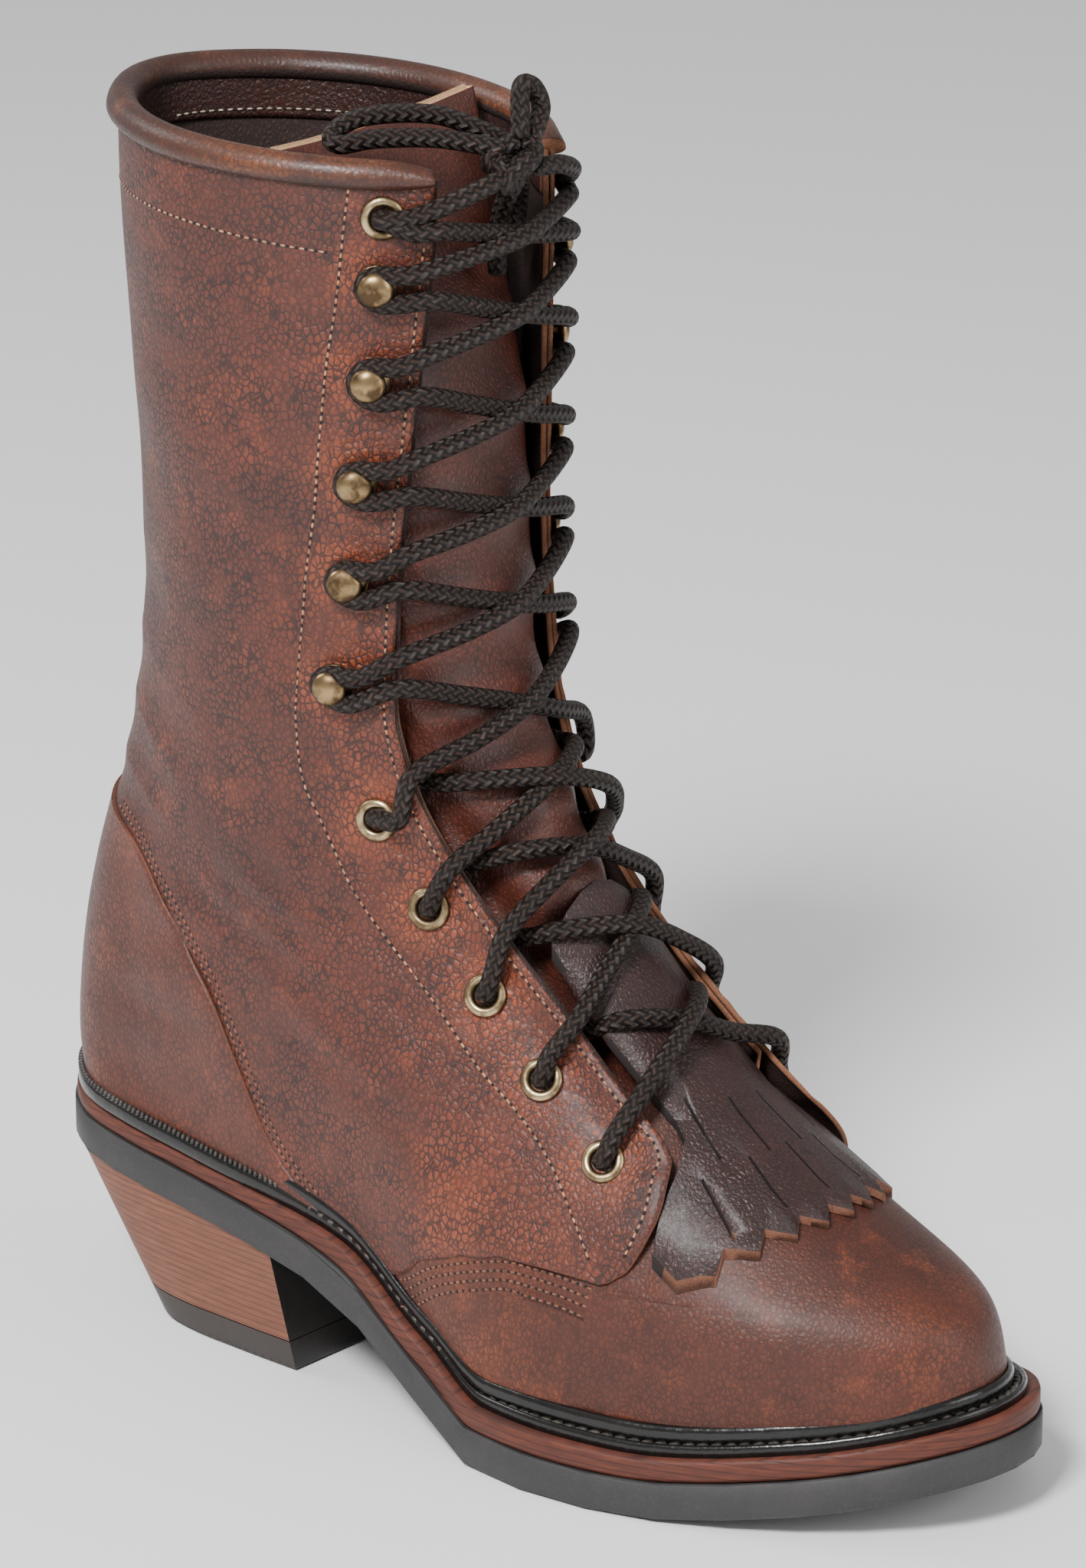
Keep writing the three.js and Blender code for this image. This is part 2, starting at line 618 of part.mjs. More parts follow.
// Upper: one wall with the quarters and the counter standing proud of the vamp
function wall(face) {
  const outer = [];
  const inner = [];
  const row = (make) => Array.from({ length: ROUND_STEPS }, (_, j) => make((360 * j) / ROUND_STEPS));
  outer.push(row((turn) => footPoint(turn, VAMP_FACE)));
  inner.push(row((turn) => footPoint(turn, WALL_INSIDE)));
  for (const level of LEVELS) {
    const out = THREE.MathUtils.lerp(VAMP_FACE, face, settle(level));
    outer.push(row((turn) => skinOut(level, turn, out)));
    inner.push(row((turn) => {
      const p = skinOut(level, turn, WALL_INSIDE);
      if (level === 0) p.z = skin(0, turn).z;
      return p;
    }));
  }
  return toSolid(between(outer, inner, true));
}
const quarterFront = [...sideLine(QUARTER_TIP), ...sideLine(VAMP_SEAM)];
const throatLine = sideLine(THROAT_EDGE);
const throatEnd = throatLine[throatLine.length - 1].x + 3;
const throatSill = throatLine[throatLine.length - 1].z;
function quarterRegion() {
  const tip = quarterFront[0];
  return toSolid(sidePrism([
    corner(FAR_BACK, HIGH), corner(FAR_FRONT, HIGH), corner(FAR_FRONT, throatSill + 25),
    corner(throatEnd - 1, throatSill + 25), corner(throatEnd - 1, throatSill),
    corner(tip.x - 0.3, tip.z + 1.5),
    ...quarterFront, corner(quarterFront.at(-1).x - 4, 0), corner(FAR_BACK, 0),
  ]));
}
function counterRegion() {
  const line = sideLine(COUNTER_EDGE);
  return toSolid(sidePrism([
    corner(FAR_BACK, line[0].z), ...line, corner(line.at(-1).x, 0), corner(FAR_BACK, 0),
  ]));
}
function backstayRegion() {
  const half = BACKSTAY_WIDTH / 2;
  const low = skin(4.9, 0).z;
  const high = skin(TOP, 0).z - COLLAR_SKIRT - 1;
  const strip = [
    new THREE.Vector2(FAR_BACK, -half), new THREE.Vector2(0, -half),
    new THREE.Vector2(0, half), new THREE.Vector2(FAR_BACK, half),
  ];
  return toSolid(planPrism(strip, low, high));
}
function throatRegion() {
  return toSolid(sidePrism([
    corner(throatLine[0].x, HIGH), ...throatLine, corner(throatEnd - 0.7, throatSill + 0.7),
    corner(throatEnd, throatSill + 3), corner(throatEnd, throatSill + 20),
    corner(FAR_FRONT, throatSill + 20), corner(FAR_FRONT, HIGH),
  ]));
}

// Eyelets and hooks sit on the quarters, each with its axis along the skin's normal
function fastenerFrame([level, angle], inner) {
  const turn = inner ? 360 - angle : angle;
  const normal = skinNormal(level, turn);
  const at = skin(level, turn).addScaledVector(normal, QUARTER_FACE);
  return { at, turned: new THREE.Quaternion().setFromUnitVectors(new THREE.Vector3(0, 0, 1), normal) };
}
const FASTENER_SIDES = 8;
const FASTENER_SEAT = 1.9 * GAP;
const eyeletRows = [...EYELETS, TOP_EYELET];
function eyeletHole(frame) {
  const depth = 12;
  const cutter = new THREE.CylinderGeometry(EYELET_BARREL + GAP, EYELET_BARREL + 1.3 * GAP, depth, 8);
  return toSolid(cutter.rotateX(Math.PI / 2).applyQuaternion(frame.turned).translate(...frame.at));
}
function upper() {
  let solid = wall(VAMP_FACE);
  solid = solid.add(wall(QUARTER_FACE).intersect(quarterRegion()));
  solid = solid.add(wall(COUNTER_FACE).intersect(counterRegion().add(backstayRegion())));
  solid = solid.subtract(throatRegion());
  for (const row of eyeletRows) {
    for (const inner of [false, true]) {
      solid = solid.subtract(eyeletHole(fastenerFrame(row, inner)));
    }
  }
  return fromSolid(solid);
}
function eyelet() {
  const foot = QUARTER_FACE - WALL_INSIDE;
  const seat = FASTENER_SEAT;
  const top = seat + EYELET_LIP;
  const points = [
    [EYELET_HOLE, -foot], [EYELET_BARREL, -foot], [EYELET_BARREL, seat], [EYELET_RADIUS, seat],
    [EYELET_RADIUS - 0.9, top], [EYELET_HOLE + 0.6, top], [EYELET_HOLE, -foot],
  ].map(([r, z]) => new THREE.Vector2(r, z));
  return new THREE.LatheGeometry(points, FASTENER_SIDES).rotateX(Math.PI / 2);
}
function hook() {
  const seat = FASTENER_SEAT;
  const points = [
    [0, seat], [HOOK_PLATE, seat], [HOOK_PLATE, seat + 0.9], [HOOK_NECK, seat + 1.2],
    [HOOK_NECK, HOOK_HEIGHT - 2.9], [HOOK_HEAD, HOOK_HEIGHT - 2.2], [HOOK_HEAD * 0.8, HOOK_HEIGHT - 0.6],
    [0, HOOK_HEIGHT],
  ].map(([r, z]) => new THREE.Vector2(r, z));
  return new THREE.LatheGeometry(points, FASTENER_SIDES).rotateX(Math.PI / 2);
}

// Rolled collar: leather folded over the top edge, open at the throat
function collarRoll() {
  const out = QUARTER_FACE + GAP;
  const into = WALL_INSIDE - GAP;
  const leather = COLLAR_LEATHER;
  const profile = [
    [out, -COLLAR_SKIRT], [out + leather, -COLLAR_SKIRT], [out + leather + 0.6, -1],
    [out + leather - 0.6, COLLAR_ROLL - 1.4], [(out + into) / 2, COLLAR_ROLL],
    [into - leather + 0.6, COLLAR_ROLL - 1.4], [into - leather - 0.6, -1],
    [into - leather, -COLLAR_SKIRT], [into, -COLLAR_SKIRT], [into, GAP], [out, GAP],
  ].map(([n, z]) => new THREE.Vector2(n, z));
  const end = THROAT_EDGE[0][1] - 1;
  const sections = [];
  const steps = 24;
  for (let i = 0; i <= steps; i++) {
    const turn = (THREE.MathUtils.lerp(-end, end, i / steps) + 360) % 360;
    const base = skin(TOP, turn);
    const up = base.clone().sub(skin(TOP - 0.4, turn)).normalize();
    const outward = skinNormal(TOP, turn);
    sections.push(profile.map((p) => base.clone().addScaledVector(outward, p.x).addScaledVector(up, p.y)));
  }
  return sweep(sections, profile, false);
}

// Throat: where its edge runs at each level, and a surface that bridges it flatter than the skin
const edgeAngle = curveThrough(
  [...THROAT_EDGE].reverse().map((r) => r[0]),
  [...THROAT_EDGE].reverse().map((r) => r[1]),
);
const bulge = curveThrough([4, 6.6, 8, 12], [1, 1, 0.6, 0.5]);
function bridge(level, s, lift) {
  const edge = edgeAngle(level);
  const outer = skinOut(level, edge, lift);
  const inner = skinOut(level, 360 - edge, lift);
  const turn = edge + ((s + 1) / 2) * (360 - 2 * edge);
  if (Math.abs(s) >= 1) return skinOut(level, turn, lift);
  const flat = outer.lerp(inner, (s + 1) / 2);
  return flat.lerp(skinOut(level, turn, lift), bulge(level));
}

// Point over the throat, a share t of the way from one edge at level a to the other at level b
function across(a, b, flip, t, lift) {
  const edge = (level, inner) => skin(level, inner ? 360 - edgeAngle(level) : edgeAngle(level));
  const rise = a === b ? 0.5 : 0;
  const along = edge(b + rise, false).add(edge(b + rise, true)).sub(edge(a, false)).sub(edge(a, true));
  along.setY(0).normalize();
  const target = edge(a, flip < 0).lerp(edge(b, flip > 0), t).dot(along);
  const s = flip * (2 * t - 1);
  let low = a - 3;
  let high = b + 0.5;
  for (let i = 0; i < 20; i++) {
    const middle = (low + high) / 2;
    if (bridge(middle, s, lift).dot(along) < target) {
      low = middle;
    } else {
      high = middle;
    }
  }
  return bridge(low, s, lift);
}

// Tongue: under the throat edges, with its top leaning back into the shaft
const TONGUE_LEVELS = [3.7, 4.1, 4.5, 5.2, 6, 6.7, 7.4, 8.4, 9.3, 10.2, 11, 11.6, 12.2];
const tongueLean = curveThrough([9, 10, 11, 12, 12.2], [0, 0.1, 0.42, 0.9, 1]);
const tongueSink = curveThrough([3.7, 4.1, 4.5, 5.2, 6, 6.8], [0, 0.5, 5.6, 5.6, 2, 0]);
const tongueWide = curveThrough([3.7, 5, 8, 10, 12.2], [1.35, 1.45, 1.5, 1.5, 1.75]);
function tonguePoint(level, s, under) {
  const p = bridge(Math.min(level, TOP), s * tongueWide(level), TONGUE_UNDER + under - tongueSink(level));
  const lean = tongueLean(level);
  p.x = THREE.MathUtils.lerp(p.x, TONGUE_TOP_AT + (under ? -TONGUE_THICK : 0), lean);
  p.y *= 1 + TONGUE_FLARE * lean;
  p.z += TONGUE_TILT * p.y * lean + (level > TOP ? TONGUE_STANDS : 0);
  return p;
}
function tongue() {
  const acrossSteps = 8;
  const grid = (under) => TONGUE_LEVELS.map((level) => Array.from(
    { length: acrossSteps + 1 },
    (_, j) => tonguePoint(level, -1 + (2 * j) / acrossSteps, under),
  ));
  return between(grid(0), grid(-TONGUE_THICK));
}

// Kiltie: a flap cut from a thin layer over the vamp, with a pinked front edge and two rows of slits
const KILTIE_BACK = throatEnd - KILTIE_TUCK;
const KILTIE_FRONT = throatEnd + KILTIE_REACH;
const KILTIE_LIFT = VAMP_FACE + GAP;
function kiltieOutline() {
  const half = KILTIE_HALF_WIDTH;
  const shift = (x) => 0.04 * BALL_WIDTH + 0.05 * (x - throatEnd);
  const side = [
    [KILTIE_BACK, KILTIE_NECK], [throatEnd - 1, KILTIE_NECK], [throatEnd + 3, KILTIE_NECK + 1.5],
    [throatEnd + 5.4, KILTIE_NECK + 7], [throatEnd + 6, half - 6], [throatEnd + 8, half + 1],
  ];
  const front = [];
  const teeth = 2 * KILTIE_TEETH;
  for (let i = 0; i <= teeth; i++) {
    const y = half * 1.04 * (1 - (2 * i) / teeth);
    const x = KILTIE_FRONT - 17 * (y / half) ** 2 - (i % 2 ? 0 : 4.5);
    front.push(new THREE.Vector2(x, y));
  }
  const points = [
    ...side.map(([x, y]) => new THREE.Vector2(x, y)),
    ...front,
    ...side.reverse().map(([x, y]) => new THREE.Vector2(x, -y)),
  ];
  return points.map((p) => new THREE.Vector2(p.x, p.y + shift(p.x)));
}
function slits() {
  const cuts = [];
  for (const row of SLIT_ROWS) {
    for (let i = 0; i < row.count; i++) {
      const y = row.reach * ((2 * i) / (row.count - 1) - 1);
      const along = new THREE.Vector2(1, y * 0.012).normalize();
      const across = new THREE.Vector2(-along.y, along.x).multiplyScalar(SLIT_WIDTH / 2);
      const start = new THREE.Vector2(throatEnd + row.at - 6 * (y / row.reach) ** 2, y + 0.06 * BALL_WIDTH);
      const end = start.clone().addScaledVector(along, SLIT_LENGTH);
      cuts.push(planPrism([
        start.clone().sub(across), end.clone().sub(across),
        end.clone().add(across), start.clone().add(across),
      ], 0, HIGH));
    }
  }
  return cuts;
}
function kiltie() {
  const outer = [];
  const inner = [];
  const turns = Array.from({ length: ROUND_STEPS }, (_, j) => (360 * j) / ROUND_STEPS);
  const front = turns.filter((turn) => turn > 100 && turn < 260);
  for (const level of LEVELS.filter((l) => l > 1.5 && l < 7)) {
    const row = (out) => front.map((turn) => skinOut(level, turn, out));
    outer.push(row(KILTIE_LIFT + KILTIE_THICK));
    inner.push(row(KILTIE_LIFT));
  }
  let solid = toSolid(between(outer, inner)).intersect(toSolid(planPrism(kiltieOutline(), 0, HIGH)));
  for (const cut of slits()) {
    solid = solid.subtract(toSolid(cut));
  }
  return fromSolid(solid);
}

// Laces: round cords through chosen points
function cord(points, steps, sides = 6) {
  const ring = [];
  for (let i = 0; i < sides; i++) {
    const at = (2 * Math.PI * i) / sides;
    ring.push(new THREE.Vector2(LACE_RADIUS * Math.cos(at), LACE_RADIUS * Math.sin(at)));
  }
  const path = new THREE.CatmullRomCurve3(points);
  return new THREE.ExtrudeGeometry(new THREE.Shape(ring), { steps, extrudePath: path, bevelEnabled: false });
}
const CLEAR = LACE_RADIUS + GAP;
function eyeletStrand(from, to, fromInner, extra) {
  const flip = fromInner ? -1 : 1;
  const over = QUARTER_FACE + CLEAR + 0.25;
  const besideHole = fromInner ? 360 - from[1] - 6 : from[1] + 6;
  const start = skinOut(from[0] + 0.3, besideHole, over + 0.4);
  const low = Math.max(KILTIE_LIFT + KILTIE_THICK, TONGUE_UNDER) + CLEAR + 1.2;
  const stage = (t, lift) => across(from[2], to[2], flip, t, lift);
  return [
    start,
    stage(0.02, over + 0.35),
    stage(0.12, low + 0.6 + extra / 2),
    stage(0.24, low + 0.6 + extra),
    stage(0.5, low + 0.3 + extra),
    stage(0.74, low),
    stage(0.85, low - 0.2),
  ];
}
const HOOK_ABOVE = 0.1;
const HOOK_BELOW = 0.12;
function hookStrand(from, to, fromInner, extra) {
  const flip = fromInner ? -1 : 1;
  const turn = (row, inner, nearer) => (inner ? 360 - row[1] - nearer : row[1] + nearer);
  const over = QUARTER_FACE + CLEAR + 0.4;
  const stage = (t, lift) => across(from[2] + HOOK_ABOVE, to[2] - HOOK_BELOW, flip, t, lift);
  return [
    skinOut(from[0] + 0.12, turn(from, fromInner, 8), over + 1.7),
    stage(0.03, over + 0.4),
    stage(0.27, over + extra / 2),
    stage(0.5, over + extra + 0.3),
    stage(0.73, over + extra / 2),
    stage(0.97, over + 0.4),
    skinOut(to[0] - 0.12, turn(to, !fromInner, 8), over + 1.7),
  ];
}
function crossing(strand, from, to) {
  const lift = 1.55 * LACE_RADIUS;
  const a = toSolid(cord(strand(from, to, false, lift), 5));
  const b = toSolid(cord(strand(from, to, true, 0), 5));
  return fromSolid(a.add(b));
}
function laceBar() {
  const under = EYELETS[0][2];
  const lift = TONGUE_UNDER + CLEAR - 4.9;
  return cord([0.15, 0.32, 0.5, 0.68, 0.85].map((t) => across(under, under, 1, t, lift)), 8);
}

// Bow: a knot in front of the tongue. Each cord leaves it along a direction, then runs through
// points chosen by eye; a loop also comes back to it along a second direction.
const KNOT = new THREE.Vector3(80, 1, 320);
const BOW = {
  lace_loop_left: {
    from: [-0.55, -0.75, 0.35], to: [-0.85, -0.1, 0.5],
    through: [
      [66, -14, 327.5], [55, -24, 329], [47.5, -29, 326.5],
      [44.5, -25.5, 324], [49, -17.5, 324.5], [61, -7, 325],
    ],
  },
  lace_loop_up: {
    from: [-0.1, 0.75, 0.65], to: [-0.15, 0.1, 0.98],
    through: [[77.5, 10.5, 329.5], [76.5, 9.5, 334], [76.5, 5, 335]],
  },
  lace_end_front: { from: [-0.25, -0.1, -0.96], through: [[73, 2, 306], [69, 5, 298], [67, 7, 290]] },
  lace_end_back: { from: [-0.6, 0.55, -0.62], through: [[71, 11, 310], [67, 15, 303], [65, 16.5, 296]] },
  lace_feed_outer: {
    from: [0, -0.85, -0.5],
    through: [[79.5, -12.5, 314.5], [76, -22, 311.5], [70.3, -28.8, 308.5]],
  },
  lace_feed_inner: {
    from: [0.1, 0.85, -0.5],
    through: [[81, 14, 316], [76.8, 23.8, 312.5], [70.3, 28.8, 308.5]],
  },
};
function bowPath({ from, through, to }) {
  const radial = (direction, out) => {
    const d = new THREE.Vector3(...direction).normalize();
    return KNOT.clone().addScaledVector(d, KNOT_RADIUS + GAP + out);
  };
  const path = [radial(from, 0), radial(from, 1.5), ...through.map((p) => new THREE.Vector3(...p))];
  return to ? [...path, radial(to, 1.5), radial(to, 0)] : path;
}

// Materials
const leather = new THREE.MeshStandardMaterial({ color: 0x6b3626, roughness: 0.55, metalness: 0 });
const darkLeather = new THREE.MeshStandardMaterial({ color: 0x35201c, roughness: 0.45, metalness: 0 });
const stacked = new THREE.MeshStandardMaterial({ color: 0x8a5a45, roughness: 0.6, metalness: 0 });
const rubber = new THREE.MeshStandardMaterial({ color: 0x3b3b3a, roughness: 0.8, metalness: 0 });
const weltBlack = new THREE.MeshStandardMaterial({ color: 0x14120f, roughness: 0.3, metalness: 0 });
const felt = new THREE.MeshStandardMaterial({ color: 0x8b6a4c, roughness: 0.9, metalness: 0 });
const brass = new THREE.MeshStandardMaterial({ color: 0x9a7f52, roughness: 0.35, metalness: 1 });
const laceCloth = new THREE.MeshStandardMaterial({ color: 0x33241c, roughness: 0.9, metalness: 0 });

const boot = new THREE.Group();
function add(name, geometry, material) {
  const mesh = new THREE.Mesh(geometry, material);
  mesh.name = name;
  boot.add(mesh);
  return mesh;
}
add("outsole", outsole(), rubber);
add("midsole", midsole(), stacked);
add("welt", welt(), weltBlack);
add("insole", insole(), felt);
add("heel_block", heelPart(LIFT_THICK + GAP, null), stacked);
add("top_lift", heelPart(0, LIFT_THICK), rubber);
add("upper", upper(), leather);
add("collar_roll", collarRoll(), leather);
add("tongue", tongue(), leather);
add("kiltie", kiltie(), darkLeather);

for (const [inner, side] of [[false, "outer"], [true, "inner"]]) {
  eyeletRows.forEach((row, i) => {
    const mesh = add(`eyelet_${side}_${i + 1}`, eyelet(), brass);
    const frame = fastenerFrame(row, inner);
    mesh.position.copy(frame.at);
    mesh.quaternion.copy(frame.turned);
  });
  HOOKS.forEach((row, i) => {
    const mesh = add(`hook_${side}_${i + 1}`, hook(), brass);
    const frame = fastenerFrame(row, inner);
    mesh.position.copy(frame.at);
    mesh.quaternion.copy(frame.turned);
  });
}

add("lace_bar", laceBar(), laceCloth);
const stops = [...EYELETS, ...HOOKS, TOP_EYELET];
for (let i = 0; i < stops.length - 1; i++) {
  const strand = i < EYELETS.length - 1 ? eyeletStrand : hookStrand;
  add(`lace_crossing_${i + 1}`, crossing(strand, stops[i], stops[i + 1]), laceCloth);
}
const knot = new THREE.SphereGeometry(KNOT_RADIUS, 10, 7).translate(KNOT.x, KNOT.y, KNOT.z);
knot.deleteAttribute("normal");
knot.deleteAttribute("uv");
add("lace_knot", knot, laceCloth);
for (const [name, route] of Object.entries(BOW)) {
  const path = bowPath(route);
  add(name, cord(path, Math.round(1.5 * path.length), 8), laceCloth);
}

export default boot;
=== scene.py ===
"""Looks of the right packer boot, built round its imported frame. Blender 4.5, metres."""
import math
import random

import bpy
import numpy as np
from mathutils import Matrix, Vector
from mathutils.bvhtree import BVHTree


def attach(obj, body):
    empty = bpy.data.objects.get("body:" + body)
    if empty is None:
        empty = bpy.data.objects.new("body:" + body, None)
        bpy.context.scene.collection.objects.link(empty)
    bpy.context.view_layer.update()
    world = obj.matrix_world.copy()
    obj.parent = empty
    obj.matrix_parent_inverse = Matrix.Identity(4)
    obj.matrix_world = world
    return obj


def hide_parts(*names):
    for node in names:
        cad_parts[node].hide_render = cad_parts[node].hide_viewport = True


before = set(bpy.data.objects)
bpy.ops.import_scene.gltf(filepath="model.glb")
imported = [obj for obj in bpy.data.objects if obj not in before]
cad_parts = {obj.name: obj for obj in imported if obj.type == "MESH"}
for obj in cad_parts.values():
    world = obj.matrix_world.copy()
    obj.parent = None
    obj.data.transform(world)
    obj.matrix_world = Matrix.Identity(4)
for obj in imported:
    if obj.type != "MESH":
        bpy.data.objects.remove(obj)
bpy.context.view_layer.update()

# Sizes in millimetres, as in the frame but for a lace that is a little thicker
SOLE_LENGTH = 292
SOLE_BACK = -62
BALL_WIDTH = 111
HEEL_HEIGHT = 45.5
TOE_SPRING = 14
UPPER_HEIGHT = 264
OUTSOLE_THICK = 9.4
GAP = 0.35
MIDSOLE_THICK = 3.8
WELT_THICK = 3.5
WELT_INSET = 1
MIDSOLE_TOP = OUTSOLE_THICK + GAP + MIDSOLE_THICK
WELT_FOOT = MIDSOLE_TOP + 1.7 * GAP
WELT_TOP = WELT_FOOT + WELT_THICK
LIFT_THICK = 8
HEEL_REST_LENGTH = 65
HEEL_REST_WIDTH = 67
HEEL_INSET = 1
BREAST_AT = 0.315
VAMP_FACE = -0.5
QUARTER_FACE = 0.5
COUNTER_FACE = 1.4
INSIDE = -2.1
LACE_RADIUS = 2.4

UNDERSIDE = [(0, 1, 0), (.21, .85, 0), (.31, .75, 0), (.4, .6, 0), (.5, .23, 0), (.585, 0, 0),
             (.73, 0, 0), (.88, 0, .39), (1, 0, 1)]
OUTLINE = [(.06, .286, .286), (.13, .344, .344), (.21, .361, .361), (.31, .372, .372),
           (.4, .382, .368), (.5, .419, .374), (.58, .465, .443), (.66, .482, .504),
           (.74, .45, .526), (.82, .377, .503), (.89, .285, .446), (.94, .192, .37)]
HEEL_ROUND = 0.34
TOE_ROUND = 0.277
TOE_SHIFT = 0.09
WELT_WIDTH = [(0, 4.5), (60, 4.5), (90, 5), (110, 8), (180, 9)]
RING_ANGLES = [0, 25, 45, 80, 110, 140, 180]
# back, back_up, front, front_up, shift, dip, half widths at RING_ANGLES
RINGS = [
    (.009, .044, .971, .014, .08, .85, (.6, .56, .43, .35, .47, .52, .535)),
    (.011, .107, .954, .081, .074, .65, (.585, .54, .43, .37, .445, .5, .5)),
    (.019, .163, .877, .136, .06, .42, (.56, .515, .425, .375, .41, .45, .43)),
    (.032, .22, .776, .191, .042, .22, (.515, .48, .405, .37, .38, .4, .375)),
    (.046, .276, .681, .261, .027, .08, (.46, .43, .385, .36, .355, .355, .335)),
    (.06, .334, .601, .345, .013, 0, (.415, .395, .37, .355, .335, .33, .31)),
    (.072, .403, .545, .443, .007, 0, (.375, .365, .36, .355, .335, .32, .305)),
    (.082, .488, .506, .565, .002, 0, (.35, .345, .35, .36, .36, .34, .315)),
    (.087, .604, .485, .701, 0, 0, (.335, .335, .35, .38, .38, .36, .325)),
    (.082, .748, .481, .845, 0, 0, (.34, .35, .38, .405, .4, .375, .345)),
    (.077, .9, .484, .996, 0, 0, (.355, .37, .4, .425, .415, .385, .36)),
    (.076, .987, .484, 1.08, 0, 0, (.365, .38, .41, .43, .42, .395, .37)),
]
TOP = len(RINGS)
THROAT_EDGE = [(12, 150), (11.2, 149), (10.3, 145), (9.1, 138), (8.4, 133.5), (7.9, 130.5),
               (7.4, 131), (6.8, 135), (6.1, 141), (5.3, 146), (4.6, 147), (4.3, 148)]
QUARTER_TIP = [(4.03, 146.5), (3.72, 141), (3.1, 131), (2.55, 123), (2.29, 118)]
VAMP_SEAM = [(2.28, 114), (2.27, 110), (2.22, 104), (1.97, 98), (1.42, 91), (.5, 86), (0, 84)]
COUNTER_EDGE = [(5.2, 0), (5.05, 30), (4.93, 42), (4.4, 52), (3.78, 58), (3.12, 62), (2.17, 64),
                (1.58, 66), (.97, 69), (0, 75)]
EYELETS = [(3.88, 132, 4.55), (4.65, 130, 5.3), (5.43, 128, 6.1), (6.22, 124, 6.75),
           (7.03, 118.5, 7.42)]
HOOKS = [(8.17, 117, 8.35), (8.95, 124, 9.08), (9.63, 128, 9.72), (10.28, 132, 10.36),
         (10.87, 134, 10.94)]
TOP_EYELET = (11.45, 136, 11.5)


# Curves and the boot's own surfaces
def curve_through(xs, ys):
    """Smooth curve through points that doesn't overshoot between them."""
    xs, ys = np.array(xs, float), np.array(ys, float)
    h = np.diff(xs)
    rise = np.diff(ys) / h
    slope = np.zeros(len(xs))
    slope[0], slope[-1] = rise[0], rise[-1]
    for i in range(1, len(xs) - 1):
        if rise[i - 1] * rise[i] > 0:
            w0, w1 = 2 * h[i] + h[i - 1], h[i] + 2 * h[i - 1]
            slope[i] = (w0 + w1) / (w0 / rise[i - 1] + w1 / rise[i])

    def at(x):
        x = np.clip(np.asarray(x, float), xs[0], xs[-1])
        i = np.clip(np.searchsorted(xs, x, side="right") - 1, 0, len(xs) - 2)
        t = (x - xs[i]) / h[i]
        a = (1 + 2 * t) * (1 - t) ** 2 * ys[i] + t * t * (3 - 2 * t) * ys[i + 1]
        return a + h[i] * (t * (1 - t) ** 2 * slope[i] - t * t * (1 - t) * slope[i + 1])
    return at


def curve_of(rows, column=1):
    """Smooth curve through a table, from its first column to another."""
    return curve_through([r[0] for r in rows], [r[column] for r in rows])


def station_of(angle):
    """Share of the length at an angle round the outline, 0 at the heel and 180 at the toe."""
    return (1 - np.cos(np.radians(angle))) / 2


def angle_of(station):
    return math.degrees(math.acos(1 - 2 * station))


def lerp(a, b, t):
    return a + (b - a) * t


heel_share = curve_of(UNDERSIDE)
toe_share = curve_of(UNDERSIDE, 2)


def underside(x):
    """Height of the sole's underside above the floor."""
    at = (x - SOLE_BACK) / SOLE_LENGTH
    return HEEL_HEIGHT * heel_share(at) + TOE_SPRING * toe_share(at)


def welt_top(x):
    return underside(x) + WELT_TOP


def straight_top(x):
    """Height of a straight line from the welt's back end to its front end."""
    return lerp(welt_top(SOLE_BACK), welt_top(SOLE_BACK + SOLE_LENGTH), (x - SOLE_BACK) / SOLE_LENGTH)


width_at = curve_through(
    [0] + [angle_of(r[0]) for r in OUTLINE] + [180],
    [math.sqrt(HEEL_ROUND * BALL_WIDTH * SOLE_LENGTH / 2)]
    + [(r[1] + r[2]) * BALL_WIDTH / 2 / math.sin(math.radians(angle_of(r[0]))) for r in OUTLINE]
    + [math.sqrt(TOE_ROUND * BALL_WIDTH * SOLE_LENGTH / 2)])
shift_at = curve_through(
    [0] + [r[0] for r in OUTLINE] + [1],
    [0] + [(r[2] - r[1]) * BALL_WIDTH / 2 for r in OUTLINE] + [TOE_SHIFT * BALL_WIDTH])
welt_wide = curve_of(WELT_WIDTH)


def outline(turn, inset):
    """Points of the sole's outline at some angles, set in by a length or by a curve of lengths."""
    turn = np.asarray(turn, float) % 360
    angle = np.where(turn <= 180, turn, 360 - turn)
    side = np.where(turn <= 180, -1, 1)
    inset = inset if callable(inset) else (lambda a, v=inset: v + 0 * np.asarray(a, float))
    x = SOLE_BACK + inset(0) + (SOLE_LENGTH - inset(0) - inset(180)) * station_of(angle)
    reach = np.sin(np.radians(angle)) * (width_at(angle) - inset(angle))
    return x, shift_at(station_of(angle)) + side * reach


ring_width = [curve_through(RING_ANGLES, r[6]) for r in RINGS]


def ring_point(index, turn):
    """Point of one ring of the last; ring 0 is the foot of the upper on the welt."""
    if index == 0:
        x, y = outline(turn, welt_wide)
        return np.stack([x, y, welt_top(x) + GAP], -1)
    back, back_up, front, front_up, shift, dip, _ = RINGS[index - 1]
    angle = np.where(turn <= 180, turn, 360 - turn)
    side = np.where(turn <= 180, -1, 1)
    along = station_of(angle)
    x = SOLE_BACK + SOLE_LENGTH * lerp(back, front, along)
    plain = along ** 2 * (3 - 2 * along)
    as_sole = shift_at(along) / (TOE_SHIFT * BALL_WIDTH)
    y = shift * BALL_WIDTH * lerp(plain, as_sole, dip)
    y = y + side * np.sin(np.radians(angle)) * ring_width[index - 1](angle) * BALL_WIDTH
    back_z = welt_top(SOLE_BACK) + back_up * UPPER_HEIGHT
    front_z = welt_top(SOLE_BACK + SOLE_LENGTH) + front_up * UPPER_HEIGHT
    z = lerp(back_z, front_z, along) + dip * (welt_top(x) - straight_top(x))
    return np.stack([x, y, z], -1)


def unit(v):
    return v / np.maximum(np.linalg.norm(v, axis=-1, keepdims=True), 1e-9)


